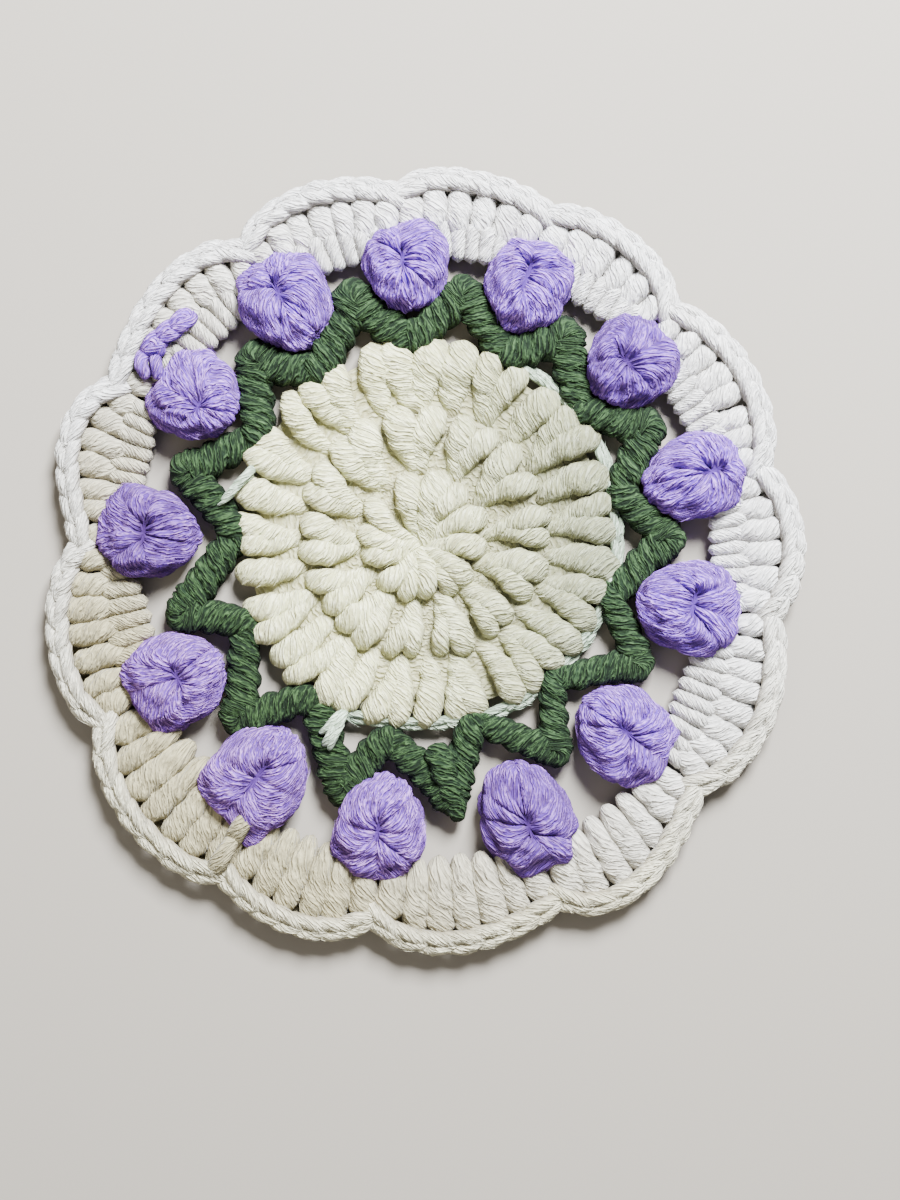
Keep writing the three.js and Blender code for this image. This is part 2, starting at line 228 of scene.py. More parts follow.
def woundBody(axis, halfAcross, halfHigh, plyRate, pliesAround, pliesAWrap, groove, dark=0.0):
    # a bundle of yarn wound side by side around an axis: ply number v = sum of ply rate * step + plies
    # around * a / 360; ring point = axis + side * half across * b * c + up * half high * b * s, with c and
    # s the cosine and sine of a to the power fullness, and b = 1 + groove * the ridge of wrap v / plies a
    # wrap + lump * a slow wave; a starts from the underside
    sides = wound["sides"]
    strands, steps = axis.shape[:2]
    along = unit(np.gradient(axis, axis=1))
    side = unit(np.cross(upright, along))
    up = np.cross(along, side)
    hops = np.linalg.norm(np.diff(axis, axis=1), axis=-1)
    distance = travelled(hops)
    rate = np.broadcast_to(plyRate, (strands, steps))
    count = (travelled(hops * rate[:, 1:]) + chance.uniform(0, mapSpan, (strands, 1)))[..., None]
    part = np.arange(sides + 1) / sides
    v = count + pliesAround * part
    turn = part[:-1] * 2 * np.pi - np.pi / 2
    across = np.sign(np.cos(turn)) * np.abs(np.cos(turn)) ** wound["fullness"]
    high = np.sign(np.sin(turn)) * np.abs(np.sin(turn)) ** wound["fullness"]
    wrap = v[..., :-1] / pliesAWrap
    phase = chance.uniform(0, 2 * np.pi, (strands, 1, 1))
    lump = (distance[..., None] / wound["lumpLength"] * 2 * np.pi + phase
            + wound["lumpTwist"] * np.sin(turn + phase))
    bulge = 1 + groove * wrapRidge(wrap) + wound["lump"] * np.sin(lump)
    halfAcross = np.broadcast_to(halfAcross, (strands, steps))[..., None]
    halfHigh = np.broadcast_to(halfHigh, (strands, steps))[..., None]
    ring = (axis[:, :, None] + side[:, :, None] * (halfAcross * bulge * across)[..., None]
            + up[:, :, None] * (halfHigh * bulge * high)[..., None])
    girth = 2 * np.pi * np.median(np.sqrt((halfAcross ** 2 + halfHigh ** 2) / 2), axis=1, keepdims=True)
    u = wound["noiseAlong"] * distance[..., None] - wound["noiseAround"] * girth * part
    u = u + chance.uniform(0, mapSpan, (strands, 1, 1))
    tint = np.sin(wound["tintStep"] * np.floor(wrap) + phase)
    share = halfHigh / halfHigh.max(axis=1, keepdims=True)
    # painted shade: the crease shade, or the given dark share where that is more
    shade = np.maximum(creaseShade(np.sin(turn), share), np.broadcast_to(dark, (strands, steps))[..., None])
    body = closeTubes(ring, axis[:, [0, -1]], u, v, tint, shade)
    climb = -rate * np.gradient(distance, axis=1) * sides / pliesAround
    body["surface"] = {"ring": ring, "axis": axis, "climb": climb, "shade": shade}
    return body


fibres = {
    "perSquare": 0.95, "below": 0.02, "lowest": 1.6, "fadeOver": 1.2, "length": 3.0, "lengthScatter": 1.2,
    "half": 0.11, "halfScatter": 0.05, "angleScatter": 22.0, "lift": 0.05, "liftScatter": 0.07, "sunk": 0.04,
    "strayShare": 0.2, "strayLeast": 0.2, "strayLift": 0.65, "strayThinner": 0.55, "underShade": 0.75,
    "fewerInCrease": 0.9, "creaseFull": 0.7, "sideFrom": 0.2, "sideOver": 0.7, "mostPoints": 8,
    "places": [-0.5, -0.25, 0.0, 0.25, 0.5], "thickness": [0.75, 1.0, 0.7], "flatness": 0.8,
    "lightLeast": 1.0, "lightMost": 2.4,
}
fluff = np.random.default_rng(29)


def onGrid(values, strand, step, side):
    # the value of a grid of rings at a place between its points, eased evenly both ways
    steps, sides = values.shape[1:3]
    step = np.clip(step, 0, steps - 1.001)
    low, left = np.floor(step).astype(int), np.floor(side).astype(int)
    up, across = (step - low)[..., None], (side - left)[..., None]
    left, right = left % sides, (left + 1) % sides
    near = values[strand, low, left] * (1 - across) + values[strand, low, right] * across
    far = values[strand, low + 1, left] * (1 - across) + values[strand, low + 1, right] * across
    return near * (1 - up) + far * up


def looseFibres(surface):
    # fine fibres along the plies: each lies at a place chosen by chance, even over the top's area, and runs
    # length * s for s from -0.5 to 0.5 in the direction of the plies, turned a little, out of the surface
    # by lift * cos(pi s), or by stray lift * (s + 0.5)^2 more where its end stands off; three corners
    # around at three places and a point at each end
    ring, axis, climb, shade = (surface[name] for name in ("ring", "axis", "climb", "shade"))
    steps, sides = ring.shape[1:3]
    climb = climb if climb.ndim == 3 else np.repeat(climb[..., None], sides, axis=2)
    alongStep = np.gradient(ring, axis=1)
    alongSide = (np.roll(ring, -1, axis=2) - np.roll(ring, 1, axis=2)) / 2
    area = np.linalg.norm(np.cross(alongStep, alongSide), axis=-1)
    facing = unit(ring - axis[:, :, None])[..., 2]
    high = smooth((ring[..., 2] - fibres["lowest"]) / fibres["fadeOver"])
    high = high * (1 - fibres["fewerInCrease"] * smooth(shade / fibres["creaseFull"]))
    upwards = smooth((facing + fibres["sideFrom"]) / fibres["sideOver"])
    weight = area * (fibres["below"] + (1 - fibres["below"]) * upwards * high)
    count = int(weight.sum() * fibres["perSquare"])
    chosen = np.searchsorted(np.cumsum(weight), fluff.uniform(0, weight.sum(), count))
    strand, step, side = np.unravel_index(np.minimum(chosen, weight.size - 1), weight.shape)
    stepAt, sideAt = step + fluff.uniform(-0.5, 0.5, count), side + fluff.uniform(-0.5, 0.5, count)
    first, second = alongStep[strand, step, side], alongSide[strand, step, side]
    forward = unit(first + climb[strand, step, side][:, None] * second)
    outward = unit(ring[strand, step, side] - axis[strand, step])
    turn = np.radians(fluff.uniform(-1, 1, count) * fibres["angleScatter"])[:, None]
    forward = forward * np.cos(turn) + np.cross(outward, forward) * np.sin(turn)
    aa, ab, bb = (first * first).sum(-1), (first * second).sum(-1), (second * second).sum(-1)
    fa, fb = (forward * first).sum(-1), (forward * second).sum(-1)
    solve = np.maximum(aa * bb - ab * ab, 1e-6)
    length = fibres["length"] + fluff.uniform(-1, 1, count) * fibres["lengthScatter"]
    reach = np.array(fibres["places"])[None, :] * length[:, None]
    perStep = np.clip((fa * bb - fb * ab) / solve, -fibres["mostPoints"], fibres["mostPoints"])
    perSide = np.clip((fb * aa - fa * ab) / solve, -fibres["mostPoints"], fibres["mostPoints"])
    stepAt = np.clip(stepAt[:, None] + reach * perStep[:, None], 0, steps - 1)
    sideAt = sideAt[:, None] + reach * perSide[:, None]
    strand = strand[:, None]
    base = onGrid(ring, strand, stepAt, sideAt)
    centre = onGrid(np.repeat(axis[:, :, None], 2, axis=2), strand, stepAt, 0 * stepAt)
    out = unit(base - centre)
    share = (reach / length[:, None])[..., None]
    lift = fibres["lift"] + fluff.uniform(-1, 1, (count, 1, 1)) * fibres["liftScatter"]
    isStray = fluff.uniform(0, 1, (count, 1, 1)) < fibres["strayShare"]
    stray = isStray * fluff.uniform(fibres["strayLeast"], 1.0, (count, 1, 1)) * fibres["strayLift"]
    stray = stray * (share + 0.5) ** 2
    path = base + out * (lift * np.cos(np.pi * share) + stray - fibres["sunk"])
    along = unit(np.gradient(path, axis=1))
    sideways = unit(np.cross(along, out))
    half = fibres["half"] + fluff.uniform(-1, 1, (count, 1, 1)) * fibres["halfScatter"]
    half = half * (1 - fibres["strayThinner"] * isStray) * np.array(fibres["thickness"])[None, :, None]
    corners = []
    for a in (0.0, 2.0 * math.pi / 3, 4.0 * math.pi / 3):
        corner = out[:, 1:4] * math.cos(a) * fibres["flatness"] + sideways[:, 1:4] * math.sin(a)
        corners.append(path[:, 1:4] + half * corner)
    u = (reach[:, 1:4, None] + fluff.uniform(0, mapSpan, (count, 1, 1))) * np.ones((1, 1, 4))
    v = fluff.integers(0, mapSpan, (count, 1, 1)) + 0.4 + 0.05 * np.arange(4)
    # each fibre gets a tint from light least to light most, which the finish paints lighter as a painted
    # highlight, and under shade times the painted shade beneath it
    tint = fluff.uniform(fibres["lightLeast"], fibres["lightMost"], (count, 1, 1)) * np.ones((1, 3, 3))
    under = fibres["underShade"] * onGrid(shade[..., None], strand, stepAt, sideAt)[:, 1:4]
    return closeTubes(np.stack(corners, axis=2), path[:, [0, -1]], u, v, tint, under)


def closedHoop(points):
    # quads between points[row, column] of a hoop that closes on itself along its rows and its columns
    rows, columns = points.shape[:2]
    row, side = np.meshgrid(np.arange(rows), np.arange(columns), indexing="ij")
    nextRow, nextSide = (row + 1) % rows, (side + 1) % columns
    quads = np.stack([row * columns + side, row * columns + nextSide,
                      nextRow * columns + nextSide, nextRow * columns + side], axis=-1)
    u = np.stack([side, side + 1, side + 1, side], axis=-1)
    v = np.stack([row, row, row + 1, row + 1], axis=-1)
    return {
        "points": points.reshape(-1, 3),
        "quads": quads.reshape(-1, 4),
        "triangles": np.zeros((0, 3), int),
        "quadMap": np.stack([u, v], axis=-1).reshape(-1, 2),
        "triangleMap": np.zeros((0, 2)),
        "tint": np.full(rows * columns, 0.5),
        # half painted shade all over
        "shade": np.full(rows * columns, 0.5),
    }


def signedVolume(part):
    # the sum of a . (b x c) / 6 over all triangles, a quad being two, above 0 when the faces point out
    quads = part["quads"]
    corners = np.concatenate([quads[:, [0, 1, 2]], quads[:, [0, 2, 3]], part["triangles"]])
    a, b, c = (part["points"][corners[:, index]] for index in range(3))
    return (a * np.cross(b, c)).sum() / 6


def makePiece(name, parts, material):
    # all parts and their loose fibres joined into one mesh, in metres, smooth, with its map and its two
    # values for each point
    parts = parts + [looseFibres(part["surface"]) for part in parts if "surface" in part]
    starts = np.cumsum([0] + [len(part["points"]) for part in parts[:-1]])
    quads, triangles = [], []
    for part, start in zip(parts, starts):
        inward = signedVolume(part) < 0
        quads.append((part["quads"][:, ::-1] if inward else part["quads"]) + start)
        triangles.append((part["triangles"][:, ::-1] if inward else part["triangles"]) + start)
        if inward:
            part["quadMap"] = part["quadMap"].reshape(-1, 4, 2)[:, ::-1].reshape(-1, 2)
            part["triangleMap"] = part["triangleMap"].reshape(-1, 3, 2)[:, ::-1].reshape(-1, 2)
    points = np.concatenate([part["points"] for part in parts])
    # what would sink below restHeight settles softly on the table: z = s e^(z / s - 1) below s
    low = points[:, 2] < restHeight
    points[low, 2] = restHeight * np.exp(points[low, 2] / restHeight - 1)
    points *= metre
    quads, triangles = np.concatenate(quads), np.concatenate(triangles)
    corners = np.concatenate([quads.ravel(), triangles.ravel()])
    counts = np.concatenate([np.full(len(quads), 4), np.full(len(triangles), 3)])
    mesh = bpy.data.meshes.new(name)
    mesh.vertices.add(len(points))
    mesh.vertices.foreach_set("co", points.ravel())
    mesh.loops.add(len(corners))
    mesh.loops.foreach_set("vertex_index", corners)
    mesh.polygons.add(len(counts))
    mesh.polygons.foreach_set("loop_start", np.cumsum(counts) - counts)
    mesh.polygons.foreach_set("use_smooth", np.ones(len(counts), bool))
    yarnMap = np.concatenate([part[kind] for kind in ("quadMap", "triangleMap") for part in parts])
    mesh.uv_layers.new(name="yarnMap").data.foreach_set("uv", yarnMap.ravel())
    for value in ("tint", "shade"):
        attribute = mesh.attributes.new(value, "FLOAT", "POINT")
        attribute.data.foreach_set("value", np.concatenate([part[value] for part in parts]))
    mesh.update(calc_edges=True)
    mesh.validate()
    mesh.materials.append(material)
    piece = bpy.data.objects.new(name, mesh)
    bpy.context.scene.collection.objects.link(piece)
    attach(piece, "root")
    return piece


# Yarn finishes

# colours of the plies' painted highlight, body and cooler patches, of the painted shade in the lines between
# them and of the painted shade in deep creases; far, a painted shade towards one side with a warm painted
# reflection on most yarns, is multiplied in from farFrom to farTo metres in its direction
cottonFinish = {"gap": 0.9, "relief": 0.0002, "sheen": 0.2, "soft": 0.05}
finishes = {
    "cream": {
        **cottonFinish,
        "light": (0.98, 0.985, 0.68), "body": (0.765, 0.785, 0.41), "cool": (0.74, 0.77, 0.46),
        "troughShade": (0.55, 0.54, 0.30), "deep": (0.20, 0.17, 0.09), "shade": 0.78,
        "far": (0.35, 0.375, 0.39), "farFrom": -0.006, "farTo": 0.030, "paintedShadeAngle": 0.0,
    },
    "offWhite": {
        **cottonFinish,
        "light": (0.99, 0.985, 0.97), "body": (0.85, 0.84, 0.82), "cool": (0.81, 0.82, 0.85),
        "troughShade": (0.60, 0.59, 0.58), "deep": (0.20, 0.17, 0.14), "shade": 0.8,
        "far": (0.54, 0.49, 0.30), "farFrom": -0.03, "farTo": 0.045, "paintedShadeAngle": 220.0,
    },
    "edge": {
        **cottonFinish,
        "light": (0.99, 0.985, 0.97), "body": (0.87, 0.86, 0.84), "cool": (0.82, 0.83, 0.86),
        "troughShade": (0.61, 0.60, 0.59), "deep": (0.22, 0.19, 0.16), "shade": 0.75,
        "far": (0.86, 0.82, 0.60), "farFrom": -0.02, "farTo": 0.05, "paintedShadeAngle": 262.0,
    },
    "mint": {
        **cottonFinish,
        "light": (0.80, 0.92, 0.76), "body": (0.42, 0.57, 0.40), "cool": (0.40, 0.54, 0.41),
        "troughShade": (0.27, 0.35, 0.24), "deep": (0.17, 0.21, 0.13), "shade": 0.7,
        "far": (0.8, 0.8, 0.8), "farFrom": -0.004, "farTo": 0.028, "paintedShadeAngle": 0.0,
    },
    "green": {
        "light": (0.058, 0.116, 0.045), "body": (0.0094, 0.0238, 0.0078), "cool": (0.0074, 0.0218, 0.0098),
        "troughShade": (0.0034, 0.0105, 0.0039), "deep": (0.002, 0.007, 0.003), "shade": 0.88,
        "far": (0.88, 0.90, 0.76), "farFrom": 0.0, "farTo": 0.05, "paintedShadeAngle": 222.0,
        "gap": 1.0, "relief": 0.0003, "sheen": 0.06, "soft": 0.0,
    },
    "lavender": {
        "light": (0.61, 0.32, 0.99), "body": (0.22, 0.072, 0.74), "cool": (0.185, 0.068, 0.68),
        "troughShade": (0.10, 0.034, 0.33), "deep": (0.046, 0.015, 0.12), "shade": 0.78,
        "far": (0.9, 0.9, 0.70), "farFrom": -0.02, "farTo": 0.06, "paintedShadeAngle": 222.0,
        "gap": 1.0, "relief": 0.00028, "sheen": 0.12, "soft": 0.02,
    },
}
# noises drawn out along the plies, each as its scale along, its scale around and its detail; two sizes of
# noise in space; where the painted highlight strokes, the broken lines of painted shade, the fibres and the
# cool patches start and end
plyPattern = {
    "waver": (0.42, 0.9, 1.0), "strokes": (0.62, 2.1, 2.0),
    "gaps": (0.45, 0.9, 1.0), "fine": (1.4, 4.0, 1.0),
    "waverBy": 1.8, "clumpSize": 60.0, "fluffSize": 2400.0, "strokeFrom": 0.48, "strokeTo": 0.62,
    "brokenFrom": 0.34, "brokenTo": 0.58, "brokenLeft": 0.35, "fibreFrom": 0.34, "fibreTo": 0.56,
    "fibreShare": 0.3, "lineTo": 0.85, "ridgeFrom": 0.6, "ridgeLight": 0.7, "coolFrom": 0.35, "coolTo": 0.7,
    "looseFrom": 1.2, "looseLight": 0.9, "strandsApart": 0.15, "strokeHeight": 0.35, "looseHeight": 0.7,
}
cottonShine = {
    "Roughness": 0.9, "Specular IOR Level": 0.25, "Sheen Roughness": 0.45, "Subsurface Scale": 0.0012,
    "Subsurface Radius": (1.0, 0.8, 0.6),
}


def addNode(tree, kind, inputs=None, **settings):
    # a node with its settings and the starting values of its inputs
    node = tree.nodes.new(kind)
    for name, value in settings.items():
        setattr(node, name, value)
    for name, value in (inputs or {}).items():
        node.inputs[name].default_value = value
    return node


def calculate(tree, operation, first, second=0.0, third=0.0):
    # one sum on outputs or plain numbers
    node = addNode(tree, "ShaderNodeMath", operation=operation)
    for socket, value in zip(node.inputs, (first, second, third)):
        if isinstance(value, (int, float)):
            socket.default_value = value
        else:
            tree.links.new(value, socket)
    return node.outputs[0]


def strandNoise(tree, source, name):
    # noise drawn out along the strand: its scale along is small, and around it large
    along, around, detail = plyPattern[name]
    mapping = addNode(tree, "ShaderNodeMapping", inputs={"Scale": (along, around, 1.0)})
    noise = addNode(tree, "ShaderNodeTexNoise", noise_dimensions="2D",
                    inputs={"Scale": 1.0, "Detail": detail, "Roughness": 0.6})
    tree.links.new(source, mapping.inputs["Vector"])
    tree.links.new(mapping.outputs["Vector"], noise.inputs["Vector"])
    return noise.outputs["Fac"]


def solidNoise(tree, source, size):
    # noise in space, size to the metre
    noise = addNode(tree, "ShaderNodeTexNoise", inputs={"Scale": size, "Detail": 2.0})
    tree.links.new(source, noise.inputs["Vector"])
    return noise.outputs["Fac"]


def blendColours(tree, share, first, second, kind="MIX"):
    # first * (1 - share) + second * share, each a colour or an output; or with first * second for second
    node = addNode(tree, "ShaderNodeMix", data_type="RGBA", blend_type=kind)
    for socket, value in ((node.inputs[6], first), (node.inputs[7], second)):
        if isinstance(value, tuple):
            socket.default_value = (*value, 1.0)
        else:
            tree.links.new(value, socket)
    tree.links.new(share, node.inputs[0])
    return node.outputs[2]


def spreadOver(tree, value, low, high, toLow, toHigh):
    # value from low..high carried to toLow..toHigh and held there
    node = addNode(tree, "ShaderNodeMapRange",
                   inputs={"From Min": low, "From Max": high, "To Min": toLow, "To Max": toHigh})
    tree.links.new(value, node.inputs["Value"])
    return node.outputs["Result"]


def yarnFinish(name, look):
    # crest = sin(180 * plies around)^2, wavering by noise; height = crest + strokes + loose fibres; colour =
    # painted shade in lines between the plies and painted highlights in strokes along them, cooler in slow
    # patches, with painted shade deep in the creases and towards one side
    material = bpy.data.materials.new(name)
    material.use_nodes = True
    tree = material.node_tree
    shader = tree.nodes["Principled BSDF"]
    coordinates = addNode(tree, "ShaderNodeTexCoord")
    yarnMap, place = coordinates.outputs["UV"], coordinates.outputs["Object"]
    around = addNode(tree, "ShaderNodeSeparateXYZ")
    tree.links.new(yarnMap, around.inputs[0])
    kinds = ("waver", "strokes", "gaps", "fine")
    waver, strokes, gaps, fine = (strandNoise(tree, yarnMap, kind) for kind in kinds)
    plies = calculate(tree, "MULTIPLY_ADD", waver, plyPattern["waverBy"], around.outputs["Y"])
    wave = calculate(tree, "SINE", calculate(tree, "MULTIPLY", plies, math.pi))
    crest = calculate(tree, "MULTIPLY", wave, wave)
    # painted shade opens in gaps between plies here and there, painted highlights lie in short strokes along
    # them and on the ply ridges, fine fibres over
    line = spreadOver(tree, crest, 0.0, plyPattern["lineTo"], look["gap"], 0.0)
    broken = spreadOver(tree, gaps, plyPattern["brokenFrom"], plyPattern["brokenTo"],
                        plyPattern["brokenLeft"], 1.0)
    gap = calculate(tree, "MULTIPLY", line, broken)
    fluffy = calculate(tree, "MULTIPLY", fine, 0.5)
    loose = calculate(tree, "MULTIPLY_ADD", solidNoise(tree, place, plyPattern["fluffSize"]), 0.5, fluffy)
    fibre = spreadOver(tree, loose, plyPattern["fibreFrom"], plyPattern["fibreTo"],
                       plyPattern["fibreShare"] * look["gap"], 0.0)
    ridge = spreadOver(tree, crest, plyPattern["ridgeFrom"], 1.0, 0.0, plyPattern["ridgeLight"])
    ridge = calculate(tree, "MULTIPLY", ridge, broken)
    spotted = spreadOver(tree, strokes, plyPattern["strokeFrom"], plyPattern["strokeTo"], 0.0, 1.0)
    stroke = calculate(tree, "MAXIMUM", spotted, ridge)
    # slow changes in cooler patches
    patchShare = spreadOver(tree, solidNoise(tree, place, plyPattern["clumpSize"]),
                            plyPattern["coolFrom"], plyPattern["coolTo"], 0.0, 1.0)
    body = blendColours(tree, patchShare, look["body"], look["cool"])
    colour = blendColours(tree, stroke, body, look["light"])
    lines = calculate(tree, "MINIMUM", calculate(tree, "ADD", gap, fibre), 1.0)
    colour = blendColours(tree, lines, colour, look["troughShade"])
    # loose fibres, with a tint above loose from, are lighter, a painted highlight; strands differ a little
    # in tone; creases get painted shade
    shade = addNode(tree, "ShaderNodeAttribute", attribute_name="shade").outputs["Fac"]
    tint = addNode(tree, "ShaderNodeAttribute", attribute_name="tint").outputs["Fac"]
    looseShare = spreadOver(tree, tint, plyPattern["looseFrom"], fibres["lightMost"],
                            0.0, plyPattern["looseLight"])
    colour = blendColours(tree, looseShare, colour, look["light"])
    darkness = calculate(tree, "MULTIPLY_ADD", shade, look["shade"],
                         spreadOver(tree, tint, -1.0, 1.0, 0.0, plyPattern["strandsApart"]))
    colour = blendColours(tree, darkness, colour, look["deep"])
    # and painted shade towards one side, where less light falls, with a warm painted reflection on most
    # yarns
    turn = math.radians(look["paintedShadeAngle"])
    towards = addNode(tree, "ShaderNodeVectorMath", operation="DOT_PRODUCT")
    tree.links.new(place, towards.inputs[0])
    towards.inputs[1].default_value = (math.cos(turn), math.sin(turn), 0.0)
    paintedShadeShare = spreadOver(tree, towards.outputs["Value"], look["farFrom"], look["farTo"], 0.0, 1.0)
    colour = blendColours(tree, paintedShadeShare, colour, look["far"], "MULTIPLY")
    tree.links.new(colour, shader.inputs["Base Color"])
    height = calculate(tree, "MULTIPLY_ADD", stroke, plyPattern["strokeHeight"], crest)
    height = calculate(tree, "MULTIPLY_ADD", loose, plyPattern["looseHeight"], height)
    bump = addNode(tree, "ShaderNodeBump", inputs={"Strength": 1.0, "Distance": look["relief"]})
    tree.links.new(height, bump.inputs["Height"])
    tree.links.new(bump.outputs["Normal"], shader.inputs["Normal"])
    for socket, value in cottonShine.items():
        shader.inputs[socket].default_value = value
    shader.inputs["Sheen Weight"].default_value = look["sheen"]
    shader.inputs["Sheen Tint"].default_value = (*look["light"], 1.0)
    shader.inputs["Subsurface Weight"].default_value = look["soft"]
    return material


creamYarn = yarnFinish("creamCottonYarn", finishes["cream"])
mintYarn = yarnFinish("paleMintCottonYarn", finishes["mint"])
whiteYarn = yarnFinish("offWhiteCottonYarn", finishes["offWhite"])
edgeYarn = yarnFinish("whiteEdgeCottonYarn", finishes["edge"])
greenYarn = yarnFinish("greenCottonYarn", finishes["green"])
lavenderYarn = yarnFinish("lavenderCottonYarn", finishes["lavender"])
print("camera and yarn finishes made")

# Stitches


def chainAlong(here, following, height):
    # for a link from each point to the following one: its start, direction, direction to the left, length
    step = following - here
    length = np.linalg.norm(step, axis=-1, keepdims=True)
    along = raised(step / length, 0.0)
    left = np.stack([-along[:, 1], along[:, 0], 0 * along[:, 0]], axis=-1)
    return raised(here, height), along, left, length


link = {"bellyPower": 0.8, "headPower": 4}


def chainLinks(starts, along, side, length, settings):
    # each link is a drop-shaped loop: tail at its start, wide past the middle, head under the next link;
    # with f = (1 - cos p) / 2 for p from 0 to 360 the loop runs (overlap * length * f, half width * sin p *
    # belly, rise * sin(180 f^belly power) - drop * f^head power), and is tilted about the chain's line
    turn = np.linspace(0.0, 1.0, settings["steps"])[None, :] * 2 * np.pi
    forward = (1 - np.cos(turn)) / 2
    a = forward * settings["overlap"] * length
    full = forward ** link["bellyPower"]
    belly = settings["tailWidth"] + (1 - settings["tailWidth"]) * full
    b = settings["halfWidth"] * np.sin(turn) * belly
    z = settings["rise"] * np.sin(np.pi * full) - settings["drop"] * forward ** link["headPower"]
    tilt = np.radians(settings["tilt"])
    sideways = b * np.cos(tilt) + z * np.sin(tilt)
    upward = z * np.cos(tilt) - b * np.sin(tilt)
    path = (starts[:, None] + along[:, None] * a[..., None] + side[:, None] * sideways[..., None]
            + upright * upward[..., None])
    return path, np.sin(tilt) * side[:, None] + np.cos(tilt) * upright


# Cream disc

disc = {
    "middle": (-0.5, 2.1), "steps": 34, "axisHeight": 2.05, "halfHigh": 1.95, "highShare": 1.15,
    "leastSpacing": 2.8, "crowding": 0.1, "startInside": 1.3, "endBeyond": 0.5, "innermost": 0.9,
    "toePower": 8.0, "headPower": 2.4, "endDrop": 0.6, "parentPull": 0.85, "angleScatter": 0.2,
    "heightScatter": 0.28, "unevenHeight": 0.25, "reachScatter": 0.45, "widthScatter": 0.16,
    "toeWidth": 0.86, "headWidth": 1.14, "toeDrop": 1.1, "headRise": 0.8, "headAt": 0.72, "headLength": 0.2,
    "lean": 0.22, "bow": 0.45, "toeRate": 0.7, "headRate": 1.35, "pliesAround": 9, "pliesAWrap": 3,
    "groove": 0.14, "toeDark": 0.85, "toeDarkFor": 0.26, "widenFor": 0.6, "rateFor": 0.5, "leastReach": 5.0,
}
discRounds = namedRows("before end posts turn", [
    (None, "first", 13, 6.0),
    ("first", "second", 26, -0.9),
    ("second", "third", 39, -3.2),
])
# distance from the disc's middle to the end of each round, in eight directions
discReach = namedRows("angle first second third", [
    (0, 9.6, 19.7, 31.0),
    (45, 11.2, 21.4, 32.8),
    (90, 12.2, 22.2, 33.2),
    (135, 11.0, 21.2, 32.4),
    (180, 9.6, 19.2, 29.8),
    (225, 8.6, 18.2, 30.0),
    (270, 7.4, 17.1, 28.0),
    (315, 8.4, 18.0, 29.2),
])


def aroundDisc(name, angle):
    # the column's value at an angle, eased by half a cosine wave from each direction to the next
    if name is None:
        return np.zeros_like(angle)
    values = column(discReach, name)
    turn = np.mod(angle, 360.0) / 360.0 * len(values)
    index = np.floor(turn).astype(int)
    eased = (1 - np.cos((turn - index) * np.pi)) / 2
    return mix(values[index % len(values)], values[(index + 1) % len(values)], eased)


def discPosts(row, previous):
    # each post is a wound cushion, its foot in the pit between two heads of the round before, its head
    # wider and at its own place: reach and angle eased from foot to head, with a bow of sin(180 part);
    # height = axis height - drops at the ends + a rise over the head + unevenness
    posts = row["posts"]
    number = np.arange(posts)
    own = 360.0 * number[:, None] / posts - row["turn"] + scatter(posts, disc["angleScatter"] * 360 / posts)
    base = own
    if previous is not None:
        parent = number * previous["posts"] // posts
        parentAngle = 360.0 * (parent[:, None] + 0.5) / previous["posts"] - previous["turn"]
        away = np.mod(parentAngle - own + 180.0, 360.0) - 180.0
        base = own + np.clip(away, -360.0 / posts, 360.0 / posts) * disc["parentPull"]
    part = np.linspace(0.0, 1.0, disc["steps"])[None, :]
    share = mix(part, 1 - (1 - part) ** 2, disc["crowding"])
    angle = mix(base, own, smooth(share))
    inner = aroundDisc(row["before"], angle) - disc["startInside"]
    outer = aroundDisc(row["end"], angle) + disc["endBeyond"] + scatter(posts, disc["reachScatter"])
    reach = np.maximum(mix(inner, outer, share), disc["innermost"] + part)
    bow = disc["lean"] * 2 * np.pi * outer / posts + scatter(posts, disc["bow"])
    angle = angle + np.degrees(bow * np.sin(part * np.pi) / np.maximum(reach, disc["leastReach"]))
    spacing = np.maximum(2 * np.pi * reach / posts, disc["leastSpacing"])
    ends = roundedEnds(part, np.where(part < 0.5, disc["toePower"], disc["headPower"]))
    fromToe = smooth(part / disc["widenFor"])
    width = mix(disc["toeWidth"], disc["headWidth"], fromToe) * (1 + scatter(posts, disc["widthScatter"]))
    halfAcross = 0.5 * spacing * width
    place = polar(reach, angle) + disc["middle"]
    height = (disc["axisHeight"] - disc["endDrop"] * (1 - ends) - disc["toeDrop"] * (1 - fromToe)
              + disc["headRise"] * np.exp(-((part - disc["headAt"]) / disc["headLength"]) ** 2)
              + scatter(posts, disc["heightScatter"])
              + disc["unevenHeight"] * unevenness(place[..., 0], place[..., 1]))
    halfHigh = np.minimum(disc["halfHigh"], halfAcross * disc["highShare"])
    rate = mix(disc["toeRate"], disc["headRate"], smooth(part / disc["rateFor"]))
    # painted shade over the toe of each post after the first round, where it starts under the heads of the
    # round before
    dark = disc["toeDark"] * (1 - smooth(part / disc["toeDarkFor"])) if previous is not None else 0.0
    return woundBody(raised(place, height), halfAcross * ends, halfHigh * ends, rate, disc["pliesAround"],
                     disc["pliesAWrap"], disc["groove"], dark)


discBacking = {
    "reachInside": 2.4, "low": 0.6, "high": 2.0, "ripple": 0.12,
    "columns": 156, "rings": 24, "firstRing": 0.03,
}


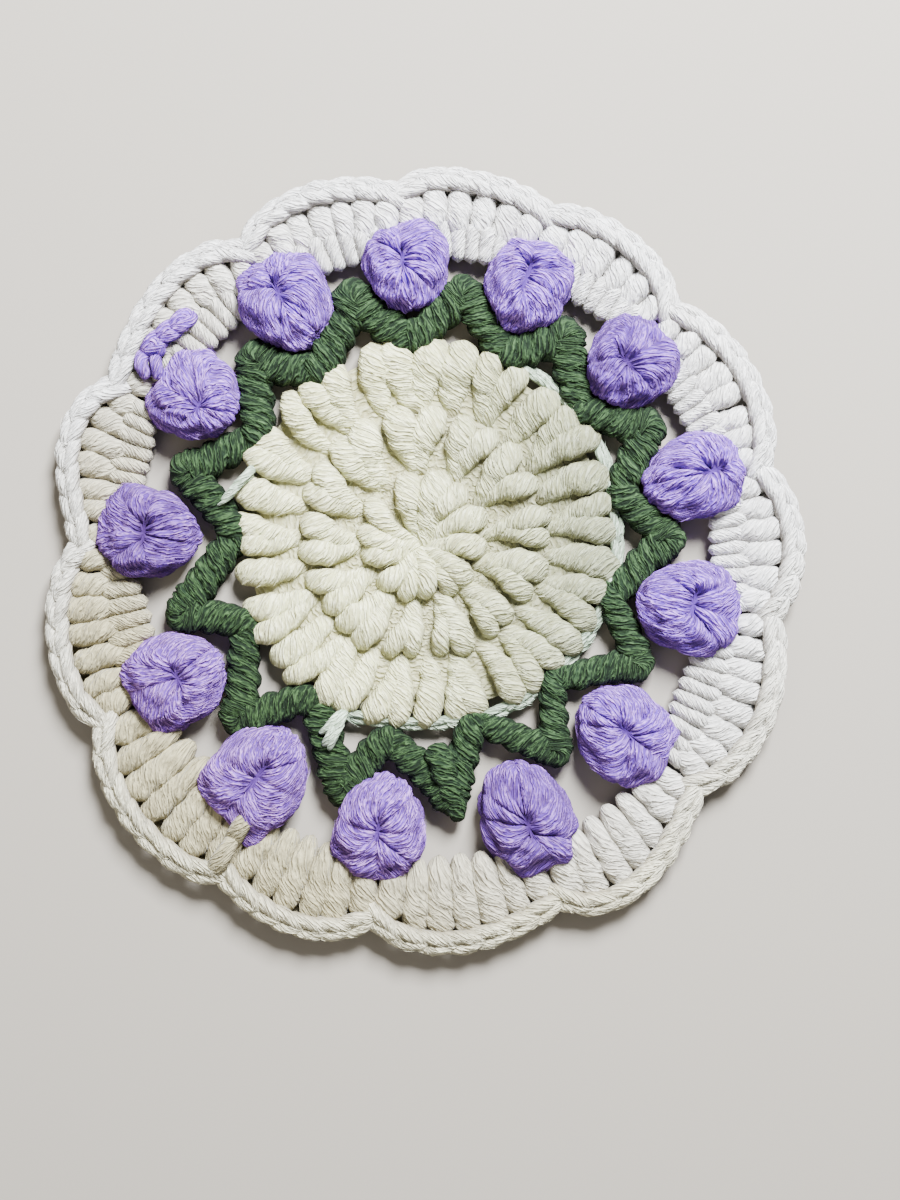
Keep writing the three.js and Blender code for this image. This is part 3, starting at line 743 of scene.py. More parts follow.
def discBackingPart():
    # a thin lens under the posts: rings from the middle out on top, a little rippled, and back below; even
    # gives it half painted shade, for the shade in the gaps between the posts
    angle = np.arange(discBacking["columns"]) / discBacking["columns"] * 360.0
    edge = aroundDisc("third", angle) - discBacking["reachInside"]
    part = np.linspace(discBacking["firstRing"], 1.0, discBacking["rings"])[:, None]
    ripple = discBacking["ripple"] * np.cos(np.radians(angle) * discRounds[2]["posts"])
    flat = polar(edge * part, angle[None, :]) + disc["middle"]
    top = raised(flat, discBacking["high"] + ripple * part)
    ring = np.concatenate([top, raised(flat, discBacking["low"])[::-1]])[None]
    ends = ring[:, [0, -1]].mean(2)
    even = np.full(ring.shape[:3], 0.5)
    u, v = np.arange(ring.shape[2] + 1), np.arange(ring.shape[1])[:, None]
    return closeTubes(ring, ends, u, v, even, even)


discChain = {
    "fromAngle": -118.0, "toAngle": 66.0, "angleScatter": 0.08, "heightScatter": 0.15, "height": 2.0,
    "inside": 0.15, "thick": 0.65, "wide": 0.72, "halfWidth": 0.8, "steps": 20, "overlap": 1.3,
    "tailWidth": 0.35, "rise": 0.4, "drop": 0.7, "tilt": 35.0, "twistLength": 12.0,
}


def discLinks(row):
    # a link over the head of every post of a round, from each post to the next, along the side where
    # the chain shows
    count = round((discChain["toAngle"] - discChain["fromAngle"]) / 360 * row["posts"])
    angles = np.linspace(discChain["fromAngle"], discChain["toAngle"], count + 1)
    angles[1:-1] += scatter(count - 1, discChain["angleScatter"] * 360 / row["posts"])[:, 0]
    here = polar(aroundDisc(row["end"], angles) - discChain["inside"], angles) + disc["middle"]
    height = discChain["height"] + scatter(count, discChain["heightScatter"])[:, 0]
    starts, along, left, length = chainAlong(here[:-1], here[1:], height)
    path, out = chainLinks(starts, along, -left, length, discChain)
    return carryYarn(path, out, discChain["thick"], discChain["wide"], discChain["twistLength"], sides=12)


discPieces = []
for index, row in enumerate(discRounds):
    parts = [discPosts(row, discRounds[index - 1] if index else None)]
    discPieces.append(makePiece(f"disc_round_{index + 1}", parts, creamYarn))
discPieces.append(makePiece("disc_edge_chain", [discLinks(discRounds[-1])], mintYarn))
discSheet = makePiece("disc_backing", [discBackingPart()], creamYarn)
for piece in [*discPieces, discSheet]:
    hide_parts("centre_disc")
print("cream disc stitched")

# Green zigzag

leaf = {
    "rootWide": 2.5, "peakWide": 2.85, "halfHigh": 2.0, "axisHeight": 2.15, "overrun": 1.6, "corner": 0.075,
    "steps": 120, "endPower": 9.0, "endDrop": 0.6, "startLift": 0.75, "peakLift": 0.4, "peakLength": 0.16,
    "heightScatter": 0.1, "sizeScatter": 0.05, "bow": 0.4, "plyRate": 1.05, "peakRate": 3.2,
    "pliesAround": 8, "pliesAWrap": 3, "groove": 0.3, "startFor": 0.3, "rateCorners": 0.9,
}
zigzag = namedRows("rootReach rootAngle peakReach peakAngle size", [
    (34.7, 93.9, 42.8, 82.1, 1.08),
    (35.1, 68.3, 41.6, 58.3, 1.05),
    (34.2, 44.1, 40.8, 31.0, 1.00),
    (32.6, 19.5, 38.4, 5.0, 0.95),
    (29.9, -10.4, 37.4, -26.2, 0.88),
    (27.2, -43.2, 36.6, -55.7, 0.82),
    (26.5, -73.5, 37.6, -84.0, 1.00),
    (28.5, -102.6, 38.3, -109.8, 1.00),
    (28.3, -129.7, 38.8, -140.2, 1.00),
    (29.9, -160.8, 39.3, -168.0, 1.02),
    (30.4, -188.7, 40.4, -200.6, 1.02),
    (33.3, -216.2, 41.7, -229.7, 1.02),
    (34.3, -239.7, 42.8, -254.6, 1.08),
])


def leafArches(roots, peaks, nextRoots):
    # each V is one wound bundle from a root up to a peak and down to the next root: two straight lines,
    # each carried on past the peak and blended there, which rounds it off; its start lies over the end
    # of the one before
    count = len(roots)
    toPeak, toRoot = peaks - roots, nextRoots - peaks
    upLength = np.linalg.norm(toPeak, axis=-1, keepdims=True)
    downLength = np.linalg.norm(toRoot, axis=-1, keepdims=True)
    part = np.linspace(0.0, 1.0, leaf["steps"])[None, :]
    rising = (upLength + leaf["overrun"]) * part * 2 - leaf["overrun"]
    falling = (downLength + leaf["overrun"]) * (part * 2 - 1)
    first = roots[:, None] + (toPeak / upLength)[:, None] * rising[..., None]
    second = peaks[:, None] + (toRoot / downLength)[:, None] * falling[..., None]
    blend = smooth((part - 0.5 + leaf["corner"]) / (2 * leaf["corner"]))[..., None]
    outward = unit(peaks)[:, None]
    bow = leaf["bow"] * scatter(count, 1.0) * np.sin(part * 4 * np.pi)
    place = mix(first, second, blend) + outward * bow[..., None]
    closing = roundedEnds(part, leaf["endPower"])
    nearPeak = np.exp(-((part - 0.5) / leaf["peakLength"]) ** 2)
    height = (leaf["axisHeight"] + leaf["startLift"] * (1 - smooth(part / leaf["startFor"]))
              - leaf["endDrop"] * (1 - closing) + leaf["peakLift"] * nearPeak
              + scatter(count, leaf["heightScatter"]))
    full = closing * column(zigzag, "size")[:, None] * (1 + scatter(count, leaf["sizeScatter"]))
    aroundPeak = np.exp(-((part - 0.5) / (leaf["rateCorners"] * leaf["corner"])) ** 2)
    rate = leaf["plyRate"] + leaf["peakRate"] * aroundPeak
    return woundBody(raised(place, height), mix(leaf["rootWide"], leaf["peakWide"], nearPeak) * full,
                     leaf["halfHigh"] * full, rate, leaf["pliesAround"], leaf["pliesAWrap"], leaf["groove"])


roots = polar(column(zigzag, "rootReach"), column(zigzag, "rootAngle"))
peaks = polar(column(zigzag, "peakReach"), column(zigzag, "peakAngle"))
leafPiece = makePiece("leaf_zigzag", [leafArches(roots, peaks, np.roll(roots, -1, axis=0))], greenYarn)
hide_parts("leaf_round")
print("green zigzag stitched")

# Tulips

tulip = {
    "height": 7.9, "middleHeight": 3.4, "footHeight": 0.4, "egg": 0.12, "fullness": 0.85, "outerPower": 0.78,
    "rows": 42, "columns": 14, "fromAngle": 1.5, "toAngle": 166.0, "lobeScatter": 9.0,
    "plyWidth": 0.66, "pliesAWrap": 2, "groove": 0.34, "grooveEnds": 8, "bend": 0.95, "slant": 0.45,
    "lump": 0.32, "pucker": 0.42, "puckersAround": 5, "puckersDown": 7, "puckerDark": 0.5,
    "creaseDeep": 0.95, "creaseLeast": 0.15, "creaseFar": 0.45, "creasePower": 3.6, "creaseDark": 0.5,
    "dimpleDeep": 1.5, "dimpleWidth": 8.0, "dimpleDark": 0.7, "tipWidth": 15.0, "tipBeyond": 0.3,
    "underDark": 0.7, "underFrom": 85.0, "underOver": 40.0, "farFrom": 20.0, "farOver": 40.0,
    "topSmooth": 30.0, "lumpsAround": 2, "lumpsDown": 2.6, "puckerTwist": 1.5, "roundness": 14.0,
    "heart": 1.0,
}
# where one strand ends and the next starts around a bobble, in degrees from its right, -90 being its foot
tulipLobes = [-134, -105, -76, -46, -4, 42, 92, 140, 184]
# place and size; the dimple, to the right and outwards from the middle, and the half size of the slit that
# it is drawn out to; then the share that darkens the whole bobble, added to its shade value; and the places
# that the outline's tips reach
tulips = namedRows("x y wide long dimple slit dull tips", [
    (-2.9, 46.2, 13.2, 13.8, (-0.7, 0.9), (0.12, 1.0), 0.0, [(-1.8, 53.5)]),
    (16.0, 42.9, 13.0, 14.5, (-0.7, 1.4), (0.12, 2.2), 0.0, [(13.1, 50.2), (19.4, 50.2)]),
    (32.2, 31.0, 13.8, 14.6, (-0.5, -0.5), (1.5, 0.12), 0.42, [(32.3, 38.6), (38.0, 35.2)]),
    (41.9, 13.1, 13.1, 15.8, (0.0, 3.2), (0.12, 1.4), 0.0, [(47.4, 18.6), (50.4, 14.9)]),
    (41.3, -7.4, 14.4, 16.3, (-0.7, 0.5), (1.8, 0.12), 0.0, [(49.2, -5.6)]),
    (30.8, -27.0, 13.9, 15.8, (-0.5, 0.5), (0.12, 1.5), 0.0, [(39.6, -26.7), (37.6, -33.8)]),
    (15.3, -39.6, 14.3, 16.4, (0.0, 2.3), (0.12, 1.6), 0.34, [(16.6, -49.2), (22.2, -47.8), (23.6, -40.6)]),
    (-7.2, -41.8, 14.4, 15.8, (0.2, 0.7), (0.12, 1.2), 0.0, [(-10.1, -50.2), (-4.2, -49.4)]),
    (-26.5, -34.1, 15.2, 17.4, (0.0, 0.0), (0.12, 2.4), 0.0, [(-27.0, -44.4), (-29.6, -43.4)]),
    (-39.3, -18.7, 14.4, 16.0, (0.0, -0.5), (1.2, 0.12), 0.0, [(-41.8, -26.9), (-46.9, -21.4)]),
    (-43.6, 4.5, 14.5, 15.4, (-0.2, 0.5), (1.5, 0.12), 0.42, [(-51.4, 3.4)]),
    (-36.2, 25.8, 13.6, 14.2, (-1.2, -1.6), (0.8, 0.12), 0.0, []),
    (-21.8, 40.5, 14.3, 15.0, (-0.5, 1.8), (0.12, 1.6), 0.0, [(-25.0, 48.2), (-29.4, 44.4)]),
])


def tulipAxes(row):
    # unit directions to the right of the way outwards, and outwards, as seen from above
    outward = unit(np.array([row["x"], row["y"]]))
    return np.array([outward[1], -outward[0]]), outward


def bobbleOutline(row, turn):
    # half width * cos^p and half length * sin^p, the power p being 1 on the inner half and below 1 on the
    # outer, which squares it off; wider outwards by the egg share
    across, ahead = np.cos(turn), np.sin(turn)
    power = np.where(ahead > 0, tulip["outerPower"], 1.0)
    across = np.sign(across) * np.abs(across) ** power
    ahead = np.sign(ahead) * np.abs(ahead) ** power
    return row["wide"] / 2 * across * (1 + tulip["egg"] * ahead), row["long"] / 2 * ahead


def tipReach(row, turn):
    # 1, and more by (tip distance / outline - 1) * e^-(angle from the tip / width)^2 at each tip
    right, outward = tulipAxes(row)
    reach = np.ones(turn.shape)
    for tip in row["tips"]:
        away = np.array(tip) - np.array([row["x"], row["y"]])
        tipTurn = math.atan2(away @ outward, away @ right)
        u, v = bobbleOutline(row, np.array(tipTurn))
        longer = max(0.0, (np.hypot(*away) + tulip["tipBeyond"]) / math.hypot(u, v) - 1)
        apart = np.degrees(np.angle(np.exp(1j * (turn - tipTurn))))
        reach = reach + longer * np.exp(-(apart / tulip["tipWidth"]) ** 2)
    return reach


def onBobble(row, around, down, inset):
    # a point at a depth inset below a full ball; around is the direction seen from above, down the angle
    # from the top: (u, v) = outline * tip reach * sin(down)^fullness, moved towards the slit of the dimple
    # near the top; w = rise * cos down
    right, outward = tulipAxes(row)
    turn, fall = np.broadcast_arrays(np.radians(around), np.radians(down))
    rim = np.abs(np.sin(fall)) ** tulip["fullness"]
    near = 1 - rim
    u, v = bobbleOutline(row, turn)
    longer = 1 + (tipReach(row, turn) - 1) * rim ** 2
    u, v = u * rim * longer, v * rim * longer
    w = np.cos(fall) * np.where(fall < np.pi / 2, tulip["height"] - tulip["middleHeight"],
                                tulip["middleHeight"] - tulip["footHeight"])
    out = unit(np.stack([u / row["wide"] ** 2 * 4, v / row["long"] ** 2 * 4, w / tulip["roundness"]],
                        axis=-1))
    u = u + near * (row["dimple"][0] + row["slit"][0] * np.cos(turn))
    v = v + near * (row["dimple"][1] + row["slit"][1] * np.sin(turn))
    local = np.stack([u, v, w], axis=-1) - out * np.broadcast_to(inset, u.shape)[..., None]
    axes = np.array([[*right, 0.0], [*outward, 0.0], [0.0, 0.0, 1.0]])
    return local @ axes + np.array([row["x"], row["y"], tulip["middleHeight"]])


def tulipBall(row):
    # strands side by side on one closed ball, all from the slit of the dimple, out over the ball and below;
    # across a strand, s from 0 to 1, it sinks by crease deep * |2 s - 1|^crease power; its plies are
    # counted as v = (distance across + slant * r + bend * cos(direction) * r^2 / 2 R) / ply width, r being
    # the distance from the dimple, so that they bend towards the foot on both sides
    steps, across, lobes = tulip["rows"], tulip["columns"], len(tulipLobes)
    borders = np.array(tulipLobes) + scatter(lobes, tulip["lobeScatter"])[:, 0]
    borders = np.append(borders, borders[0] + 360.0)
    strength = chance.uniform(tulip["creaseLeast"], 1.0, lobes)
    strength = np.append(strength, strength[0])
    share = np.arange(across + 1) / across
    around = mix(borders[:-1, None], borders[1:, None], share)[None]
    down = mix(tulip["fromAngle"], tulip["toAngle"], np.linspace(0.0, 1.0, steps))[:, None, None]
    radius = (row["wide"] + row["long"]) / 4
    reach = np.radians(down) * radius
    plain = onBobble(row, around, down, 0.0)
    chord = np.linalg.norm(plain[:, :, -1] - plain[:, :, 0], axis=-1)[..., None]
    bend = tulip["bend"] * np.cos(np.radians((borders[:-1] + borders[1:]) / 2))[None, :, None]
    slant = chance.uniform(-1, 1, (1, lobes, 1)) * tulip["slant"]
    v = ((share - 0.5) * chord + slant * reach + bend * reach ** 2 / (2 * radius)) / tulip["plyWidth"]
    v = v + chance.uniform(0, mapSpan, (1, lobes, 1))
    u = reach + 0 * v + chance.uniform(0, mapSpan, (1, lobes, 1))
    # what is pressed in: creases between strands, the dimple and puckers; what stands out: plies and lumps
    atEdge = np.abs(2 * share - 1)
    crease = np.where(share < 0.5, strength[:-1, None], strength[1:, None]) * atEdge ** tulip["creasePower"]
    crease = crease * mix(1.0, tulip["creaseFar"], smooth((down - tulip["farFrom"]) / tulip["farOver"]))
    ridge = wrapRidge(v / tulip["pliesAWrap"]) * (1 - atEdge ** tulip["grooveEnds"])
    dimple = np.exp(-(down / tulip["dimpleWidth"]) ** 2)
    wave = chance.uniform(0, 2 * np.pi, 2)
    turn, fall, offTop = np.radians(around), np.radians(down), smooth(down / tulip["topSmooth"])
    lump = (tulip["lump"] * np.sin(tulip["lumpsAround"] * turn + wave[0])
            * np.sin(tulip["lumpsDown"] * fall + wave[1]))
    pucker = (tulip["pucker"] * np.sin(tulip["puckersAround"] * turn + tulip["puckerTwist"] * fall + wave[1])
              * np.sin(tulip["puckersDown"] * fall + wave[0]))
    inset = (tulip["creaseDeep"] * crease - tulip["groove"] * ridge + tulip["dimpleDeep"] * dimple
             - (lump + pucker) * offTop)
    points = onBobble(row, around, down, inset)
    # painted shade: in the creases between strands, in the dimple, in the hollows of the puckers, and over
    # the underside
    shade = np.maximum(tulip["creaseDark"] * crease, tulip["dimpleDark"] * dimple)
    shade = np.maximum(shade, tulip["puckerDark"] * smooth(-pucker / tulip["pucker"]) * offTop)
    under = smooth((down - tulip["underFrom"]) / tulip["underOver"])
    shade = np.maximum(shade, tulip["underDark"] * under)
    lean = -(slant + bend * reach / radius) * np.gradient(reach, axis=0) * across / np.maximum(chord, 0.2)
    flat = (1, steps, lobes * across)
    ring = points[:, :, :-1].reshape(*flat, 3)
    shade = shade[:, :, :-1].reshape(flat)
    ends = ring[:, [0, -1]].mean(2)
    closed = np.zeros((1, steps, lobes * across + 1))
    ball = closeTubes(ring, ends, closed, closed, np.zeros(flat), shade)
    corners = [np.stack([m[:-1, :, :-1], m[:-1, :, 1:], m[1:, :, 1:], m[1:, :, :-1]], axis=-1)
               for m in (u, v)]
    ball["quadMap"] = np.stack(corners, axis=-1).reshape(-1, 2)
    heart = np.array([row["x"], row["y"], tulip["heart"]])
    ball["surface"] = {
        "ring": ring, "axis": np.broadcast_to(heart, (1, steps, 3)), "shade": shade,
        "climb": np.broadcast_to(lean, (steps, lobes, across)).reshape(flat),
    }
    return ball


# Loose strands, loops and joins, each a list of points that its strand passes through

strays = {
    "disc": namedRows("thick wide end points", [
        (0.55, 0.9, 0.7,
         [(-12.8, -23.4, 3.2), (-13.4, -25.2, 4.9), (-14.4, -27.6, 5.2), (-15.3, -29.9, 4.5)]),
        (0.5, 0.85, 0.7,
         [(-13.6, -24.2, 3.4), (-14.4, -26.2, 5.1), (-15.2, -27.8, 5.3), (-16.2, -29.2, 4.5)]),
        (0.5, 0.8, 0.6,
         [(-13.4, -23.8, 3.4), (-14.6, -25.3, 4.9), (-15.6, -26.4, 4.9), (-16.8, -27.2, 4.3)]),
        (0.7, 0.85, 0.5,
         [(-26.8, 15.2, 3.2), (-28.4, 13.2, 4.8), (-30.4, 11.2, 4.9), (-32.2, 9.4, 4.6)]),
        (0.6, 0.7, 0.4,
         [(-27.2, 13.8, 3.2), (-29.2, 12.0, 4.8), (-31.0, 9.8, 4.8), (-32.9, 8.6, 4.3)]),
    ]),
    "leaf": namedRows("thick wide end wound points", [
        (1.75, 2.3, 0.62, True,
         [(1.4, -28.8, 3.2), (2.6, -32.4, 4.1), (4.2, -37.4, 3.5), (5.4, -41.4, 2.3)]),
    ]),
    "bobble_12": namedRows("thick wide end points", [
        (0.9, 1.1, 0.9, [(-41.4, 32.2, 4.4), (-42.6, 34.1, 5.5), (-44.2, 33.4, 4.4)]),
        (1.0, 1.2, 0.9, [(-44.4, 33.0, 3.6), (-44.6, 30.8, 5.5), (-43.6, 28.6, 4.6)]),
        (0.9, 1.1, 0.9, [(-42.8, 32.6, 4.0), (-42.1, 30.4, 5.8), (-41.8, 28.4, 5.2)]),
    ]),
}
looseStrand = {"stepsAPoint": 8, "endPower": 6, "twistLength": 8.0}
# chains of a few links that lie over their neighbours, from one place to another
overlays = {
    "border": {
        "from": (-27.0, -38.6, 5.2), "to": (-33.1, -48.3, 4.2), "links": 2, "steps": 28, "thick": 1.05,
        "wide": 1.05, "halfWidth": 0.62, "overlap": 1.25, "tailWidth": 0.4, "rise": 1.3, "drop": 1.0,
        "tilt": 0.0, "twistLength": 12.0,
    },
    "bobble_12": {
        "from": (-44.0, 33.0, 4.6), "to": (-37.8, 38.0, 4.6), "links": 3, "steps": 22, "thick": 0.8,
        "wide": 0.95, "halfWidth": 1.05, "overlap": 1.4, "tailWidth": 0.35, "rise": 0.9, "drop": 0.7,
        "tilt": 0.0, "twistLength": 12.0,
    },
}


def overlayChain(row):
    # links of equal length along a straight line
    start, end = np.array(row["from"]), np.array(row["to"])
    count = row["links"]
    step = (end - start) / count
    length = np.full((count, 1), np.linalg.norm(step))
    along = np.broadcast_to(unit(step), (count, 3))
    side = unit(np.cross(along, upright))
    path, out = chainLinks(start + step * np.arange(count)[:, None], along, side, length, row)
    return carryYarn(path, out, row["thick"], row["wide"], row["twistLength"])


def strayStrands(rows):
    # a path through each row's points, eased from point to point by a cubic that keeps its direction;
    # thick and wide are the half sizes at the start, and end the share of them that is left at the end
    parts = []
    for row in rows:
        points = np.array(row["points"])
        padded = np.concatenate([2 * points[:1] - points[1:2], points, 2 * points[-1:] - points[-2:-1]])
        place = np.linspace(0, len(points) - 1, looseStrand["stepsAPoint"] * len(points))
        index = np.minimum(place.astype(int), len(points) - 2)
        share = (place - index)[:, None]
        a, b, c, d = (padded[index + offset] for offset in range(4))
        path = 0.5 * (2 * b + (c - a) * share + (2 * a - 5 * b + 4 * c - d) * share ** 2
                      + (3 * b - a - 3 * c + d) * share ** 3)[None]
        part = np.linspace(0.0, 1.0, len(share))[None]
        size = mix(1.0, row["end"], part) * roundedEnds(part, looseStrand["endPower"], nearlyOne)
        if "wound" in row:
            parts.append(woundBody(path, row["wide"] * size, row["thick"] * size, leaf["plyRate"],
                                   leaf["pliesAround"], leaf["pliesAWrap"], leaf["groove"]))
        else:
            parts.append(carryYarn(path, upright, row["thick"] * size, row["wide"] * size,
                                   looseStrand["twistLength"]))
    return parts


for index, row in enumerate(tulips):
    name = f"bobble_{index + 1:02d}"
    parts = [tulipBall(row)] + strayStrands(strays.get(name, []))
    if name in overlays:
        parts.append(overlayChain(overlays[name]))
    for part in parts:
        for holder in (part, part["surface"]):
            holder["shade"] = holder["shade"] + row["dull"]
    piece = makePiece(name, parts, lavenderYarn)
    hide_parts(f"tulip_{index + 1:02d}")
print("tulips wound")

# Border of thirteen shells

border = {
    "hiddenEdge": 49.4, "scallopPower": 0.68, "innerPower": 2.4, "fanShare": 0.92, "cordInside": 3.1,
    "innerBeyond": 0.6, "angleScatter": 0.1, "heightScatter": 0.25, "skew": 0.35,
    "headSteps": 28, "headStart": 0.34, "startScatter": 0.05, "headHigh": 2.2, "headHeight": 2.55,
    "headFoot": 0.9, "widenFor": 0.6, "headWide": 0.57, "widthScatter": 0.1, "headPlies": 12,
    "pliesAWrap": 3, "headRate": 1.15, "rateFrom": 0.3, "rateOver": 0.4, "headGroove": 0.13, "headDark": 0.3,
    "headDarkFor": 0.15, "headPower": 2.7, "endDrop": 0.4, "leastShare": 0.02,
    "headSink": 0.8, "sinkFor": 0.35, "wholePower": 4.3, "wholeSink": 0.3, "wholeRate": 0.35,
    "fingerSteps": 12, "fingerSides": 16, "fingerEnd": 0.55, "fingerPower": 6, "fingerThick": 1.75,
    "fingerHeight": 2.1, "fingerWide": 0.56, "fingerDrop": 0.4, "dropFor": 0.35, "fingerRise": 0.6,
    "fingerTwist": 10.0,
}
# reach and angle of each shell's first notch and of its crest, reach of its inner edge, and its ribs; where
# it has no fingers, its ribs are whole from the inner edge out
borderShells = namedRows("notch notchAngle crest crestAngle inner posts fingers", [
    (60.0, 94.4, 62.6, 85.7, 48.3, 6, 9),
    (60.1, 70.4, 61.8, 61.0, 47.4, 6, 9),
    (57.4, 45.9, 60.6, 31.0, 46.4, 8, 12),
    (56.8, 15.2, 60.3, 3.0, 45.4, 6, 9),
    (57.3, -9.0, 61.1, -27.0, 44.8, 8, 11),
    (57.8, -39.8, 63.4, -59.0, 48.4, 7, 0),
    (59.5, -68.4, 62.7, -86.0, 47.2, 7, 0),
    (58.9, -98.6, 63.2, -111.0, 47.6, 6, 0),
    (61.1, -122.5, 64.0, -135.0, 47.0, 7, 0),
    (59.0, -153.1, 61.8, -164.0, 44.9, 7, 9),
    (56.5, -182.6, 61.8, -201.0, 46.7, 7, 10),
    (58.4, -209.4, 62.2, -229.0, 48.0, 8, 11),
    (58.7, -239.9, 62.7, -252.0, 48.5, 7, 9),
])


def borderLine(place):
    # place runs from 0 to 13, a shell each; gives the angle, the outer edge and the inner edge there: outer
    # = notch to crest by sin(180 bent share)^scallop power, bent so that the crest is at its own angle;
    # inner = inner to hidden edge by |2 share - 1|^inner power
    shells = len(borderShells)
    index = np.floor(place).astype(int) % shells
    share = place - np.floor(place)
    following = (index + 1) % shells
    notchAngle = column(borderShells, "notchAngle")
    endAngle = np.where(index == shells - 1, notchAngle[following] - 360.0, notchAngle[following])
    toCrest = column(borderShells, "crestAngle")[index] - notchAngle[index]
    crestShare = toCrest / (endAngle - notchAngle[index])
    bent = share ** (math.log(0.5) / np.log(crestShare))
    scallop = np.sin(bent * np.pi) ** border["scallopPower"]
    notch = mix(column(borderShells, "notch")[index], column(borderShells, "notch")[following], share)
    outer = mix(notch, column(borderShells, "crest")[index], scallop)
    hidden = np.abs(2 * share - 1) ** border["innerPower"]
    inner = mix(column(borderShells, "inner")[index], border["hiddenEdge"], hidden)
    return mix(notchAngle[index], endAngle, share), outer, inner


def borderLines(name, skew):
    # inner and outer end of each rib's line, fanned out a little within its shell, its inner end moved
    # by skew of a rib; and the angle that each rib has for itself
    posts = column(borderShells, name).astype(int)
    shell = np.repeat(np.arange(len(posts)), posts)
    number = np.arange(posts.sum()) - np.repeat(np.cumsum(posts) - posts, posts)
    share = (number + 0.5) / posts[shell]
    outerPlace = shell + share + scatter(len(shell), border["angleScatter"])[:, 0] / posts[shell]
    innerShare = mix(0.5, share, border["fanShare"]) + skew / posts[shell]
    innerPlace = shell + np.clip(innerShare, border["leastShare"], 1 - border["leastShare"])
    outerAngle, outer, _ = borderLine(outerPlace)
    innerAngle, _, inner = borderLine(innerPlace)
    notchAngle = column(borderShells, "notchAngle")
    width = np.mod(notchAngle - np.roll(notchAngle, -1), 360.0) / np.maximum(posts, 1)
    innerEnd = polar(inner - border["innerBeyond"], innerAngle)
    outerEnd = polar(outer - border["cordInside"], outerAngle)
    return innerEnd, outerEnd, width[shell], shell


def borderPosts():
    # the outer part of a rib is a wound cushion from head start to 1 along its line, narrower, lower and
    # with a little painted shade where it starts; a whole rib has it from 0 on
    innerEnd, outerEnd, width, shell = borderLines("posts", 0.0)
    count = len(innerEnd)
    part = np.linspace(0.0, 1.0, border["headSteps"])[None, :]
    whole = (column(borderShells, "fingers") == 0)[shell][:, None]
    start = np.where(whole, 0.0, border["headStart"] + scatter(count, border["startScatter"]))
    place = mix(innerEnd[:, None], outerEnd[:, None], mix(start, 1.0, part)[..., None])
    ends = roundedEnds(part, np.where(whole, border["wholePower"], border["headPower"]))
    spacing = np.radians(width)[:, None] * np.linalg.norm(place, axis=-1)
    taper = mix(border["headFoot"], 1.0, smooth(part / border["widenFor"]))
    halfAcross = border["headWide"] * spacing * taper * (1 + scatter(count, border["widthScatter"]))
    sink = np.where(whole, border["wholeSink"], border["headSink"]) * (1 - smooth(part / border["sinkFor"]))
    height = (border["headHeight"] - border["endDrop"] * (1 - ends) - sink
              + scatter(count, border["heightScatter"])
              + disc["unevenHeight"] * unevenness(place[..., 0], place[..., 1]))
    firstRate = np.where(whole, border["wholeRate"], border["headRate"])
    rate = mix(firstRate, border["headRate"], smooth((part - border["rateFrom"]) / border["rateOver"]))
    dark = border["headDark"] * (1 - smooth(part / border["headDarkFor"]))
    return woundBody(raised(place, height), halfAcross * ends, border["headHigh"] * ends, rate,
                     border["headPlies"], border["pliesAWrap"], border["headGroove"], dark)


def borderFingers():
    # the inner part is strands side by side, from 0 to finger end along their lines, each with a rounded
    # end that drops a little
    innerEnd, outerEnd, width, _ = borderLines("fingers", border["skew"])
    part = np.linspace(0.0, 1.0, border["fingerSteps"])[None, :]
    place = mix(innerEnd[:, None], outerEnd[:, None], border["fingerEnd"] * part[..., None])
    ends = roundedEnds(part, border["fingerPower"], nearlyOne)
    spacing = np.radians(width)[:, None] * np.linalg.norm(place, axis=-1)
    height = (border["fingerHeight"] - border["fingerDrop"] * (1 - smooth(part / border["dropFor"]))
              + border["fingerRise"] * smooth(part) + scatter(len(innerEnd), border["heightScatter"]))
    return carryYarn(raised(place, height), upright, border["fingerThick"] * ends,
                     border["fingerWide"] * spacing * ends, border["fingerTwist"], border["fingerSides"])


edgeChain = {
    "linksPerShell": 7, "steps": 24, "height": 3.5, "inside": 2.3, "thick": 1.05, "wide": 1.2,
    "halfWidth": 1.35, "overlap": 1.45, "tailWidth": 0.35, "rise": 0.45, "drop": 0.9, "tilt": 25.0,
    "twistLength": 12.0,
}


def borderEdge():
    # a closed chain along the outer edge, a link from each place to the next
    count = len(borderShells) * edgeChain["linksPerShell"]
    angles, outer, _ = borderLine(np.arange(count) / edgeChain["linksPerShell"])
    here = polar(outer - edgeChain["inside"], angles)
    starts, along, left, length = chainAlong(here, np.roll(here, -1, axis=0), edgeChain["height"])
    path, out = chainLinks(starts, along, left, length, edgeChain)
    return carryYarn(path, out, edgeChain["thick"], edgeChain["wide"], edgeChain["twistLength"])


borderBacking = {"insideInner": 1.2, "insideOuter": 2.0, "low": 0.7, "high": 1.6, "columnsPerShell": 28}


def borderBackingPart():
    # a thin hoop under the shells: inner edge, top, outer edge and underside around its section; closed hoop
    # gives it half painted shade, for the shade that falls between the ribs
    columns = len(borderShells) * borderBacking["columnsPerShell"]
    angle, outer, inner = borderLine(np.arange(columns) / borderBacking["columnsPerShell"])
    near, far = inner + borderBacking["insideInner"], outer - borderBacking["insideOuter"]
    section = [(0.0, "low"), (0.0, "high"), (0.25, "high"), (0.5, "high"), (0.75, "high"), (1.0, "high"),
               (1.0, "low"), (0.5, "low")]
    rows = [raised(polar(mix(near, far, share), angle), borderBacking[level]) for share, level in section]
    return closedHoop(np.array(rows))


